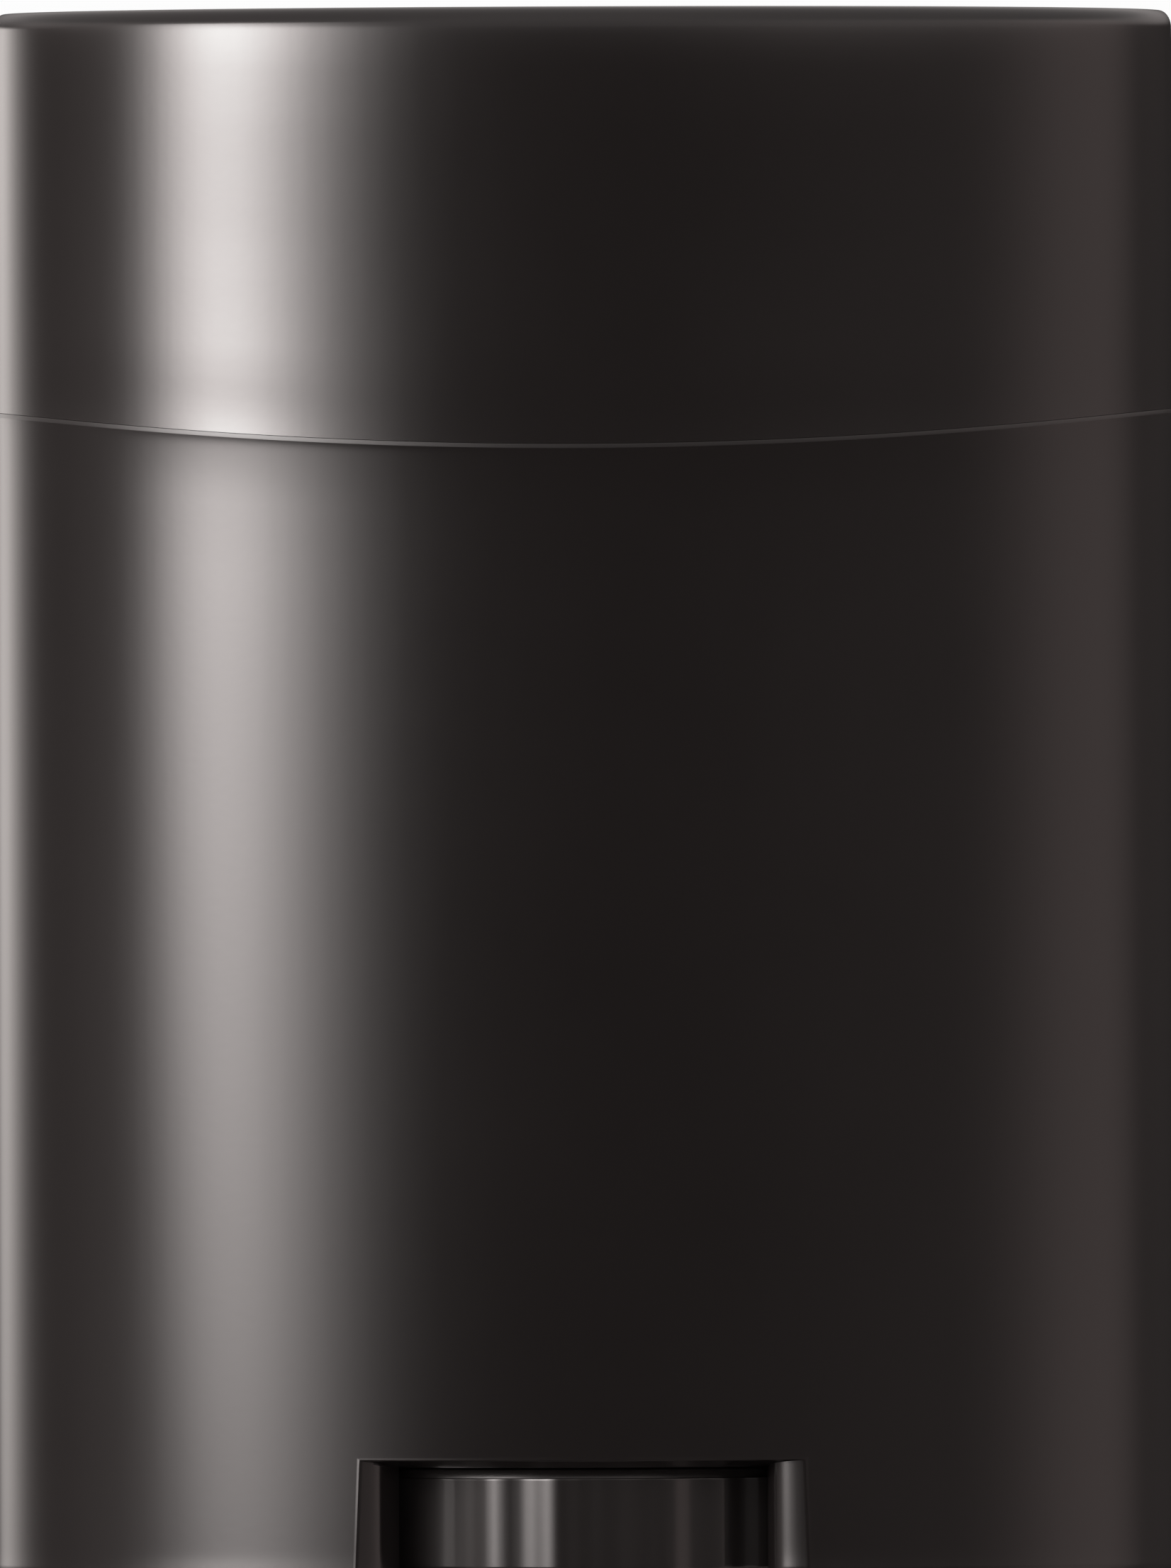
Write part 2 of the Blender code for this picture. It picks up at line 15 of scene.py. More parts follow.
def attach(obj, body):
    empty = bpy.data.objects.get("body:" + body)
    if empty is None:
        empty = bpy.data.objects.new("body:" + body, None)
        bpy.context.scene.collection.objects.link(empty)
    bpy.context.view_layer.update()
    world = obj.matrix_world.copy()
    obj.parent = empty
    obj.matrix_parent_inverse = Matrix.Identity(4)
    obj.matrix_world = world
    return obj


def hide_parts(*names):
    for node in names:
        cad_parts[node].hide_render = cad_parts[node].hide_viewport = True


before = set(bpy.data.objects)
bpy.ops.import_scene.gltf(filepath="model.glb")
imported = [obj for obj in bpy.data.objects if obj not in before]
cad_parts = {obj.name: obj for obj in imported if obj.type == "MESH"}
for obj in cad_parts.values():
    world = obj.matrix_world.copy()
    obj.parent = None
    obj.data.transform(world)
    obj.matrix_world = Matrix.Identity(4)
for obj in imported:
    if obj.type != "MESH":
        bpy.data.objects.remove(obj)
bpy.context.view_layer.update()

MM = 0.001
PI = math.pi

# ------------------------------------------------------------------ sizes, mm
HALF_W, HALF_D, HEIGHT = 23.5, 13.0, 62.3
BOW = 0.00258            # the parting line rises by this times x squared
WALL_TOP = 44.835        # top of the case's wall at the front centre, a fine ridge
RIM_TOP = 45.014         # top of the low bead over the ridge, there
CAP_EDGE = 45.022        # lower edge of the cap there
CASE_WALL = 1.3
TOP_FILLET = 0.70
FOOT_FILLET = 0.60
POCKET_R, POCKET_WALL_R, POCKET_TOP = 12.15, 13.35, 4.85
WEB_TOP, WEB_HOLE_R = 6.05, 4.35
FOOT_FLOOR, FOOT_INNER_X, FOOT_LEDGE = 1.4, 10.2, 0.4
WINDOW_TOP, WINDOW_LIP = 4.86, 4.570
WINDOW_HALF, WINDOW_DRAFT, WINDOW_INNER = 8.80, 0.0395, 7.29
WINDOW_ROUND = 0.13      # set-back of the rounded edge round the window
FRONT_COLS, FOOT_COLS = 72, 132
COLS = 2 * (FRONT_COLS + FOOT_COLS)


# ------------------------------------------------------------- mesh by strips
def unit(v):
    length = math.sqrt(sum(c * c for c in v)) or 1.0
    return tuple(c / length for c in v)


def mix(a, b, w):
    return tuple(p + (q - p) * w for p, q in zip(a, b))


class Skin:
    """A closed mesh that is added strip by strip, with a normal for each corner."""

    def __init__(self):
        self.points, self.faces, self.normals = [], [], []

    def add(self, points):
        start = len(self.points)
        self.points.extend(tuple(p) for p in points)
        return list(range(start, start + len(points)))

    def face(self, corners, normals):
        kept = [(c, n) for i, (c, n) in enumerate(zip(corners, normals)) if c != corners[i - 1]]
        if len(kept) < 3:
            return
        corners, normals = [k[0] for k in kept], [k[1] for k in kept]
        area = [0.0, 0.0, 0.0]
        for i, c in enumerate(corners):
            p, q = self.points[c], self.points[corners[(i + 1) % len(corners)]]
            area[0] += (p[1] - q[1]) * (p[2] + q[2])
            area[1] += (p[2] - q[2]) * (p[0] + q[0])
            area[2] += (p[0] - q[0]) * (p[1] + q[1])
        mean = [sum(n[k] for n in normals) for k in range(3)]
        if sum(a * m for a, m in zip(area, mean)) < 0.0:
            corners.reverse()
            normals.reverse()
        self.faces.append(corners)
        self.normals.extend(normals)

    def strip(self, low, high, n_low, n_high, closed=True):
        count = len(low)
        for i in range(count if closed else count - 1):
            j = (i + 1) % count
            self.face(
                [low[i], low[j], high[j], high[i]], [n_low[i], n_low[j], n_high[j], n_high[i]]
            )

    def fill(self, loops, normal):
        """Flat area bounded by loops of points already added; the later loops are holes."""
        flat = [i for loop in loops for i in loop]
        shapes = [[Vector(self.points[i]) for i in loop] for loop in loops]
        for tri in tessellate_polygon(shapes):
            self.face([flat[k] for k in tri], [normal] * 3)

    def make(self, name, material, body, *nodes, slot=None):
        mesh = bpy.data.meshes.new(name)
        mesh.from_pydata([tuple(c * MM for c in p) for p in self.points], [], self.faces)
        mesh.shade_smooth()
        mesh.normals_split_custom_set([unit(n) for n in self.normals])
        mesh.materials.append(material)
        mesh.validate(verbose=False)
        obj = bpy.data.objects.new(name, mesh)
        bpy.context.collection.objects.link(obj)
        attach(obj, body)
        if nodes:
            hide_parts(*nodes)
        return obj


def around(count):
    return [-0.5 * PI + 2.0 * PI * i / count for i in range(count)]


def oval_ring(a, b, z, ts, bow=0.0):
    ring = []
    for t in ts:
        x, y = a * math.cos(t), b * math.sin(t)
        ring.append((x, y, z + bow * BOW * x * x))
    return ring


def oval_normals(a, b, ts, tilt, bow=0.0):
    """Normals that lean by tilt degrees: 0 outwards, 90 up, 180 inwards, -90 down.

    A pair of tilts is for the narrow sides and for the broad front and back; a
    third one is for their middle and right part.
    """
    ends, face = tilt[:2] if isinstance(tilt, tuple) else (tilt, tilt)
    right = tilt[2] if isinstance(tilt, tuple) and len(tilt) > 2 else face
    found = []
    for t in ts:
        nx, ny = b * math.cos(t), a * math.sin(t)
        length = math.hypot(nx, ny)
        lean = ends
        if ends != face:
            at_end, at_face = nx * math.cos(t), ny * math.sin(t)
            w = min(1.0, max(0.0, (a * math.cos(t) + 14.5) / 6.0))
            w = w * w * (3.0 - 2.0 * w)
            lean = (ends * at_end + (face + (right - face) * w) * at_face) / (at_end + at_face)
        lean = math.radians(lean)
        side, up = math.cos(lean), math.sin(lean)
        slope = 2.0 * BOW * bow * a * math.cos(t)
        found.append(unit((nx / length * side - slope * up, ny / length * side, up)))
    return found


def turned(skin, profile, count=COLS, closed_ends=(True, True)):
    """Add a body turned on an oval profile.

    profile holds (a, b, z, bow, tilt before, tilt after) from one end to the
    other; an end is closed by a fan on its middle.
    """
    ts = around(count)
    rows = [skin.add(oval_ring(a, b, z, ts, bow)) for a, b, z, bow, _, _ in profile]
    for k in range(len(profile) - 1):
        a0, b0, _, w0, _, out0 = profile[k]
        a1, b1, _, w1, in1, _ = profile[k + 1]
        skin.strip(
            rows[k], rows[k + 1], oval_normals(a0, b0, ts, out0, w0), oval_normals(a1, b1, ts, in1, w1)
        )
    for end, row, station in ((0, rows[0], profile[0]), (1, rows[-1], profile[-1])):
        if closed_ends[end]:
            middle = skin.add([(0.0, 0.0, station[2])])[0]
            lean = station[4] if end == 0 else station[5]
            up = (0.0, 0.0, math.sin(math.radians(lean)))
            for i in range(count):
                skin.face([row[i], row[(i + 1) % count], middle], [up] * 3)
    return rows


# --------------------------------------------------------------- wall profiles
def bump(x, centre, width):
    return math.exp(-(((x - centre) / width) ** 2))


def case_lean(z, d):
    """Lean of the case's wall in degrees at height z, d under its upper ridge.

    The first figure is for the narrow sides, the second for the front and back.
    """
    foot, edge, ridge = 1.7 * bump(z, 0.62, 0.45), 3.9 * bump(d, 0.0, 1.9), 5.4 * math.exp(-((d / 0.22) ** 1.4))
    return foot - 0.3 * edge - 0.5 * ridge, foot - edge - ridge - 0.3


# height over the foot and lean of the cap's front and back: a slight double swell
CAP_SWELL = (
    (45.1, 4.4), (45.5, 3.4), (45.8, 2.4), (46.1, 1.6), (46.5, 0.7), (46.9, 0.4), (47.5, 1.0),
    (48.6, 2.0), (51.4, 1.3), (54.2, 0.3), (57.0, 0.0), (58.7, 0.6), (59.8, 1.1), (60.4, 2.2),
    (60.9, 3.4), (61.2, 4.6), (61.4, 6.5), (61.5, 9.0), (61.6, 11.5),
)


def cap_lean(h):
    """Lean of the cap's wall in degrees at height h: sides, front's left, rest of the front."""
    face = CAP_SWELL[0][1] if h < CAP_SWELL[0][0] else CAP_SWELL[-1][1]
    for (h0, lean0), (h1, lean1) in zip(CAP_SWELL, CAP_SWELL[1:]):
        if h0 <= h < h1:
            w = 0.5 - 0.5 * math.cos(PI * (h - h0) / (h1 - h0))
            face = lean0 + (lean1 - lean0) * w
    rest = face * (0.25 if h < 57.0 else 1.0)
    return 0.6 * bump(h, CAP_EDGE, 0.6) + 1.2 * math.exp(-(61.6 - h) / 1.2), face, rest


def offsets(heights, lean, which):
    """Offset of a wall at each height, 0 at its widest, from the lean at each height."""
    found = [0.0]
    for low, high in zip(heights, heights[1:]):
        steps = 12
        total = 0.0
        for k in range(steps):
            at = low + (high - low) * (k + 0.5) / steps
            total -= math.tan(math.radians(lean(at)[which])) * (high - low) / steps
        found.append(found[-1] + total)
    most = max(found)
    return [f - most - 0.004 for f in found]


# ------------------------------------------------------------------- the case
def window_edge(z, a, b, inset):
    """Sharp right-hand edge of the front window on the oval (a, b): x, y and angle.

    The oval may be an inset one, as on the foot's fillet.
    """
    half = WINDOW_HALF + WINDOW_DRAFT * (WINDOW_TOP - z)
    ox, oy = half, -(b + inset) * math.sqrt(1.0 - (half / (a + inset)) ** 2)
    ix, iy = WINDOW_INNER, -math.sqrt(POCKET_R**2 - WINDOW_INNER**2)
    dx, dy = ox - ix, oy - iy
    qa = (dx / a) ** 2 + (dy / b) ** 2
    qb = 2.0 * (ix * dx / a**2 + iy * dy / b**2)
    qc = (ix / a) ** 2 + (iy / b) ** 2 - 1.0
    reach = (-qb + math.sqrt(qb * qb - 4.0 * qa * qc)) / (2.0 * qa)
    x, y = ix + reach * dx, iy + reach * dy
    return x, y, math.atan2(y / b, x / a)


def case_angles(delta):
    """Angles of all columns; delta is the half width of a window as an angle."""
    ts = []
    for start, end, count in (
        (-0.5 * PI - delta, -0.5 * PI + delta, FRONT_COLS),
        (-0.5 * PI + delta, 0.5 * PI - delta, FOOT_COLS),
        (0.5 * PI - delta, 0.5 * PI + delta, FRONT_COLS),
        (0.5 * PI + delta, 1.5 * PI - delta, FOOT_COLS),
    ):
        ts.extend(start + (end - start) * k / count for k in range(count))
    return ts


def conic(p0, p1, p2, w, s):
    """Point of a rounded edge: p0 and p2 are its ends, p1 the sharp corner."""
    k0, k1, k2 = (1 - s) ** 2, 2 * w * s * (1 - s), s * s
    total = k0 + k1 + k2
    return tuple((k0 * a + k1 * b + k2 * c) / total for a, b, c in zip(p0, p1, p2))


def case_rows():
    """Rows of the case's outer wall: height, weight of the bow, inset, lean, width."""
    rows = []
    for k in range(9):
        angle = 0.5 * PI * k / 8
        rows.append(
            [
                FOOT_FILLET * (1.0 - math.cos(angle)),
                0.0,
                FOOT_FILLET * (1.0 - math.sin(angle)),
                -(90.0 - math.degrees(angle)),
            ]
        )
    for z in (0.66, 0.74, 0.84, 0.96, 1.1, 1.3, 1.6, 2.1, 2.8, 3.5, 4.2, 4.7):
        rows.append([z, 0.0, 0.0, 0.0])
    corner = len(rows)
    low = WINDOW_TOP + WINDOW_ROUND
    near = 2.6
    for k in range(17):
        f = (k / 16.0) ** 1.15
        rows.append([low + (WALL_TOP - near - low) * f, f, 0.0, 0.0])
    for d in (2.2, 1.8, 1.45, 1.15, 0.9, 0.72, 0.56, 0.44, 0.35, 0.28, 0.22, 0.17, 0.13, 0.09, 0.06, 0.03, 0.0):
        rows.append([WALL_TOP - d, 1.0, 0.0, 0.0])

    def lean(z):
        return case_lean(z, WALL_TOP - z)

    for row in rows:
        if row[3] == 0.0:
            row[3] = lean(row[0])
    heights = [row[0] for row in rows]
    for row, off_a, off_b in zip(rows, offsets(heights, lean, 0), offsets(heights, lean, 1)):
        row.extend((off_a, off_b))
    return rows, corner


def build_case(material):
    skin = Skin()
    rows, corner = case_rows()
    grid, shapes = [], []
    for k, (z, bow, inset, lean, off_a, off_b) in enumerate(rows):
        a, b = HALF_W + off_a - inset, HALF_D + off_b - inset
        x, y, t = window_edge(z if k < corner else WINDOW_TOP, a, b, inset)
        speed = math.hypot(a * math.sin(t), b * math.cos(t))
        delta = t + WINDOW_ROUND / speed + 0.5 * PI
        ts = case_angles(delta)
        ring = oval_ring(a, b, z, ts, bow)
        normals = oval_normals(a, b, ts, lean)
        if k < corner:
            kept = [
                c
                for c in range(COLS)
                if not (0 < c < FRONT_COLS)
                and not (FRONT_COLS + FOOT_COLS < c < 2 * FRONT_COLS + FOOT_COLS)
            ]
            ids = dict(zip(kept, skin.add([ring[c] for c in kept])))
            grid.append([ids.get(c) for c in range(COLS)])
        else:
            grid.append(skin.add(ring))
        shapes.append((a, b, z, ts, normals, inset))
    for k in range(len(rows) - 1):
        low, high = grid[k], grid[k + 1]
        n0, n1 = shapes[k][4], shapes[k + 1][4]
        for i in range(COLS):
            j = (i + 1) % COLS
            if None in (low[i], low[j], high[i], high[j]):
                continue
            if k < corner and (i < FRONT_COLS or FRONT_COLS + FOOT_COLS <= i < 2 * FRONT_COLS + FOOT_COLS):
                continue
            skin.face([low[i], low[j], high[j], high[i]], [n0[i], n0[j], n1[j], n1[i]])

    # the two windows: a rounded edge, then the cheeks and the sloping top
    lip_steps, deep_steps = 5, 14
    inner = {}  # column -> point on the pocket's wall, for each row below the corner
    inner_top = {}
    bottoms = {}
    for half, base in ((1.0, 0), (-1.0, FRONT_COLS + FOOT_COLS)):

        def spin(p, half=half):
            return (p[0] * half, p[1] * half, p[2])

        stations = []
        for side in (-1.0, 1.0):
            column = base + (0 if side < 0 else FRONT_COLS)
            block = []
            for k in range(corner):
                a, b, z = shapes[k][:3]
                x, y, _ = window_edge(z, a, b, shapes[k][5])
                edge = (side * x, y, z)
                deep = (
                    side * WINDOW_INNER,
                    -math.sqrt(POCKET_R**2 - WINDOW_INNER**2),
                    z * WINDOW_LIP / WINDOW_TOP,
                )
                block.append(("side", side, column, k, edge, deep, WINDOW_ROUND))
            a, b = shapes[corner][:2]
            x, y, _ = window_edge(WINDOW_TOP, a, b, 0.0)
            edge = (side * x, y, WINDOW_TOP)
            deep = (side * WINDOW_INNER, -math.sqrt(POCKET_R**2 - WINDOW_INNER**2), WINDOW_LIP)
            block.append(("corner", side, column, corner, edge, deep, WINDOW_ROUND * math.sqrt(2.0)))
            if side > 0:
                for c in range(1, FRONT_COLS):
                    ring = oval_ring(a, b, WINDOW_TOP, [shapes[corner][3][c]])[0]
                    wide = oval_ring(a, b, WINDOW_TOP, [shapes[corner][3][FRONT_COLS]])[0][0]
                    ex = ring[0] * x / wide
                    edge = (ex, -b * math.sqrt(1.0 - (ex / a) ** 2), WINDOW_TOP)
                    ix = WINDOW_INNER * ex / x
                    deep = (ix, -math.sqrt(POCKET_R**2 - ix * ix), WINDOW_LIP)
                    stations.append(("top", 0.0, base + c, corner, edge, deep, WINDOW_ROUND))
                block.reverse()
            stations.extend(block)

        def flare(kind, side, edge, deep, s):
            """Point of a reveal; a cheek swells forwards between its two edges."""
            if kind == "top":
                return mix(edge, deep, s)
            # the left cheek is flatter at first and turns in more sharply
            x, turn, weight = (deep[0] - 0.62, 29.0, 3.5) if side < 0 else (deep[0] + 0.03, 10.0, 1.6)
            reach = abs(edge[0] - x)
            control = (x, edge[1] + reach * math.tan(math.radians(turn)), 0.6 * edge[2] + 0.4 * deep[2])
            return conic(edge, control, deep, weight, s)

        made = []
        for kind, side, column, k, edge, deep, back in stations:
            way = unit(tuple(q - p for p, q in zip(edge, flare(kind, side, edge, deep, 0.02))))
            end = tuple(e + back * w for e, w in zip(edge, way))
            start = 0.0
            while math.dist(flare(kind, side, edge, deep, start), edge) < back:
                start += 0.002
            first = grid[k][column]
            p0 = skin.points[first]
            p0 = (p0[0] * half, p0[1] * half, p0[2])
            line = [conic(p0, edge, end, 0.82, s / lip_steps) for s in range(1, lip_steps + 1)]
            line += [
                flare(kind, side, edge, deep, start + (1.0 - start) * s / deep_steps)
                for s in range(1, deep_steps + 1)
            ]
            made.append([first] + skin.add([spin(p) for p in line]))

        def facing(index, kind):
            """Normals down one station's line, for the cheek or for the sloping top."""
            _, side, column, k, edge, deep, _ = stations[index]
            near = index + 1 if index + 1 < len(stations) else index - 1
            for n in (index + 1, index - 1):
                if 0 <= n < len(stations) and stations[n][0] in (kind, "corner"):
                    near = n
                    break
            along = tuple(q - p for p, q in zip(edge, stations[near][4]))
            shape = "top" if kind == "top" else "side"
            across = []
            for s in [0.0] + [s / deep_steps for s in range(1, deep_steps + 1)]:
                p = flare(shape, side, edge, deep, max(0.0, s - 0.01))
                q = flare(shape, side, edge, deep, min(1.0, s + 0.01))
                way = tuple(v - u for u, v in zip(p, q))
                n = unit(
                    (
                        along[1] * way[2] - along[2] * way[1],
                        along[2] * way[0] - along[0] * way[2],
                        along[0] * way[1] - along[1] * way[0],
                    )
                )
                wrong = n[2] > 0 if kind == "top" else n[0] * side > 0
                across.append(tuple(-c for c in n) if wrong else n)
            skin_n = shapes[k][4][column]
            skin_n = (skin_n[0] * half, skin_n[1] * half, skin_n[2])
            # a trace of a raised lip faces away from the window before the edge turns in
            inwards = unit(tuple(q - p for p, q in zip(edge, flare(shape, side, edge, deep, 0.02))))
            amount = 0.09 if kind == "top" else 0.04 + 0.13 * edge[2] / WINDOW_TOP
            raised = unit(tuple(c - amount * d for c, d in zip(skin_n, inwards)))
            line = [skin_n, raised, raised]
            line += [unit(mix(skin_n, across[0], s / lip_steps)) for s in range(3, lip_steps + 1)]
            line += across[1:]
            return [spin(v) for v in line]

        for index in range(len(stations) - 1):
            kinds = {stations[index][0], stations[index + 1][0]}
            kind = "top" if "top" in kinds else "side"
            skin.strip(
                made[index],
                made[index + 1],
                facing(index, kind),
                facing(index + 1, kind),
                closed=False,
            )
        for (kind, side, column, k, *_), line in zip(stations, made):
            if kind == "side":
                inner[(column, k)] = line[-1]
                if k == 0:
                    bottoms[column] = line
            else:
                inner_top[column] = line[-1]

    # the pocket's wall behind the two feet, and the ring over the windows
    def polar(index):
        x, y, _ = skin.points[index]
        return math.atan2(y, x)

    foot_spans = ((FRONT_COLS, FRONT_COLS + FOOT_COLS), (2 * FRONT_COLS + FOOT_COLS, COLS))
    bottom_arcs = []
    top_ring = [None] * COLS
    for column, index in inner_top.items():
        top_ring[column] = index
    for first, last in foot_spans:
        last_column = last % COLS
        previous = None
        for k in range(corner + 1):
            if k < corner:
                start, end = inner[(first, k)], inner[(last_column, k)]
            else:
                start, end = inner_top[first], inner_top[last_column]
            z = skin.points[start][2]
            t0, t1 = polar(start), polar(end)
            while t1 < t0:
                t1 += 2.0 * PI
            ts = [t0 + (t1 - t0) * i / FOOT_COLS for i in range(FOOT_COLS + 1)]
            middle = skin.add(
                [(POCKET_R * math.cos(t), POCKET_R * math.sin(t), z) for t in ts[1:-1]]
            )
            row = [start] + middle + [end]
            normals = [(-math.cos(t), -math.sin(t), 0.0) for t in ts]
            if previous is not None:
                skin.strip(previous[0], row, previous[1], normals, closed=False)
            else:
                bottom_arcs.append(row)
            previous = (row, normals)
        for offset, index in enumerate(previous[0][:-1]):
            top_ring[(first + offset) % COLS] = index
    angles = [polar(i) for i in top_ring]

    def circle(radius, z):
        return skin.add([(radius * math.cos(t), radius * math.sin(t), z) for t in angles])

    inwards = [(-math.cos(t), -math.sin(t), 0.0) for t in angles]
    down, up = [(0.0, 0.0, -1.0)] * COLS, [(0.0, 0.0, 1.0)] * COLS
    wall = circle(POCKET_R, POCKET_TOP)
    skin.strip(top_ring, wall, inwards, inwards)
    web = circle(8.0, POCKET_TOP)
    skin.strip(wall, web, down, down)
    hole_low = circle(WEB_HOLE_R, POCKET_TOP)
    skin.strip(web, hole_low, down, down)
    hole_high = circle(WEB_HOLE_R, WEB_TOP)
    skin.strip(hole_low, hole_high, inwards, inwards)

    # the undersides of the two feet
    for (first, last), arc in zip(foot_spans, bottom_arcs):
        outer = [grid[0][c % COLS] for c in range(first, last + 1)]
        front, back = bottoms[first], bottoms[last % COLS]
        loop = outer + back[1:] + list(reversed(arc))[1:-1] + list(reversed(front))[:-1]
        skin.fill([loop], (0.0, 0.0, -1.0))

    # the upper edge: the ridge, a low bead, the rim and the inner wall
    ts = shapes[-1][3]
    wide_a, wide_b = HALF_W + rows[-1][4], HALF_D + rows[-1][5]
    line = [(0.0, WALL_TOP + 0.016, 1.0)]
    for f in (0.25, 0.5, 0.75, 1.0):
        line.append((0.016 * f * f, WALL_TOP + 0.016 + 0.155 * f, 3.0 + 4.0 * f))
    line.append((0.0185, RIM_TOP - 0.004, 35.0))
    line.append((0.026, RIM_TOP, 85.0))
    line.append((CASE_WALL - 0.12, RIM_TOP, 90.0))
    line.append((CASE_WALL, RIM_TOP - 0.12, 180.0))
    line.append((CASE_WALL, RIM_TOP - 3.0, 180.0))
    before = (grid[-1], shapes[-1][4])
    for inset, z, lean in line:
        a, b = wide_a - inset, wide_b - inset
        row = skin.add(oval_ring(a, b, z, ts, 1.0))
        normals = oval_normals(a, b, ts, lean, 1.0)
        skin.strip(before[0], row, before[1], normals)
        before = (row, normals)
    a, b = HALF_W - CASE_WALL, HALF_D - CASE_WALL
    floor_ring = skin.add(oval_ring(a, b, WEB_TOP, ts))
    skin.strip(before[0], floor_ring, before[1], oval_normals(a, b, ts, 180.0))

    # the hollows of the feet, open upwards, and the web between them
    loops = [floor_ring, hole_high]
    for side in (-1.0, 1.0):
        half_w, half_d = a - FOOT_LEDGE, b - FOOT_LEDGE
        reach = math.acos(FOOT_INNER_X / half_w)
        swing = math.acos(FOOT_INNER_X / POCKET_WALL_R)
        outline, facing_in = [], []
        for k in range(33):
            t = -reach + 2.0 * reach * k / 32
            outline.append((side * half_w * math.cos(t), half_d * math.sin(t)))
            facing_in.append(unit((-side * half_d * math.cos(t), -half_w * math.sin(t), 0.0)))
        for k in range(25):
            t = swing - 2.0 * swing * k / 24
            outline.append((side * POCKET_WALL_R * math.cos(t), POCKET_WALL_R * math.sin(t)))
            facing_in.append((side * math.cos(t), math.sin(t), 0.0))
        high = skin.add([(x, y, WEB_TOP) for x, y in outline])
        low = skin.add([(x, y, FOOT_FLOOR) for x, y in outline])
        skin.strip(high, low, facing_in, facing_in)
        skin.fill([low], (0.0, 0.0, 1.0))
        loops.append(high)
    skin.fill(loops, (0.0, 0.0, 1.0))
    return skin.make("outer_case_shell", material, "case", "outer_case", slot="case_plastic")


# -------------------------------------------------------------------- the cap
def build_cap(material):
    heights = [CAP_EDGE + d for d in (0.006, 0.06, 0.14, 0.24, 0.36, 0.5, 0.64, 0.78, 0.92, 1.06, 1.2, 1.34)]
    heights += [CAP_EDGE + d for d in (1.5, 1.66, 1.82, 2.0, 2.2, 2.45, 2.75, 3.1)]
    heights += [48.6 + (59.0 - 48.6) * k / 14 for k in range(15)]
    heights += [59.4, 59.75, 60.05, 60.3, 60.52, 60.72, 60.9, 61.06, 61.2, 61.32, 61.42, 61.5, 61.56, 61.60]
    lean = cap_lean
    offs = list(zip(offsets(heights, lean, 0), offsets(heights, lean, 1)))
    top_a, top_b = HALF_W + offs[-1][0], HALF_D + offs[-1][1]
    profile = []
    # the flat top, from its middle outwards
    for share in (0.12, 0.3, 0.5, 0.7, 0.85, 0.95):
        a, b = (top_a - TOP_FILLET) * share, (top_b - TOP_FILLET) * share
        profile.append((a, b, HEIGHT, 0.0, 90.0, 90.0))
    for k in range(12, 0, -1):
        angle = 0.5 * PI * k / 12
        inset = TOP_FILLET * (1.0 - math.cos(angle))
        z = HEIGHT - TOP_FILLET + TOP_FILLET * math.sin(angle)
        turn = math.degrees(angle)
        turn = (turn, turn + 5.0 * (1.0 - k / 12))
        # the rounding is a little tighter at the narrow sides
        profile.append((top_a - 0.72 * inset, top_b - inset, z, 0.0, turn, turn))
    # down the wall; the bow fades in over the cap's height
    for h, (off_a, off_b) in zip(reversed(heights), reversed(offs)):
        share = min(1.0, max(0.0, (61.6 - h) / (61.6 - CAP_EDGE - 2.8)))
        profile.append((HALF_W + off_a, HALF_D + off_b, h, share, lean(h), lean(h)))
    low_a, low_b = HALF_W + offs[0][0], HALF_D + offs[0][1]
    for angle in (45.0, 90.0):
        turn = math.radians(angle)
        inset = 0.006 * (1.0 - math.cos(turn))
        z = CAP_EDGE + 0.006 * (1.0 - math.sin(turn))
        profile.append((low_a - inset, low_b - inset, z, 1.0, -angle, -angle))
    wall = 0.95
    profile.append((HALF_W - wall + 0.10, HALF_D - wall + 0.10, CAP_EDGE, 1.0, -90.0, -90.0))
    profile.append((HALF_W - wall, HALF_D - wall, CAP_EDGE + 0.10, 1.0, 180.0, 180.0))
    profile.append((HALF_W - wall, HALF_D - wall, CAP_EDGE + 3.0, 1.0, 180.0, 180.0))
    profile.append((HALF_W - wall, HALF_D - wall, 60.75, 0.0, 180.0, 180.0))
    profile.append((HALF_W - wall - 0.25, HALF_D - wall - 0.25, 61.0, 0.0, -90.0, -90.0))
    for share in (0.8, 0.5, 0.2):
        profile.append(((HALF_W - wall) * share, (HALF_D - wall) * share, 61.0, 0.0, -90.0, -90.0))
    skin = Skin()
    turned(skin, profile)
    return skin.make("cap_outer_shell", material, "cap", "cap_shell", slot="cap_plastic")


# ------------------------------------------------------------------- the dial
# how far the ribbed wall turns to the left, in degrees, by the angle left of the
# front; the ribs there are uneven, and the last stretch closes the outline again
WORN_RIBS = (
    (-11.25, 0.0), (-8.4, -9.0), (-5.6, 0.0), (-2.8, 7.0), (0.0, -2.0), (0.8, -12.0), (1.6, -18.0),
    (2.6, -17.5), (3.6, -9.0), (4.4, 0.5), (5.2, 6.5), (6.2, 12.0), (7.2, 16.2), (8.5, 18.6),
    (9.6, 15.4), (10.8, 10.2), (12.0, 3.4), (13.2, -1.6), (14.3, -5.6), (15.4, -4.2), (16.5, -0.6),
    (17.7, 4.0), (18.9, 8.6), (20.1, 12.6), (21.3, 13.2), (22.5, 10.6), (23.7, 8.6), (25.0, 9.6),
    (26.3, 8.4), (27.5, 4.4), (28.9, 1.8), (30.3, 1.6), (31.8, 1.4), (33.5, 0.0), (36.0, -6.0),
    (43.5, -6.0), (45.0, 0.0),
)


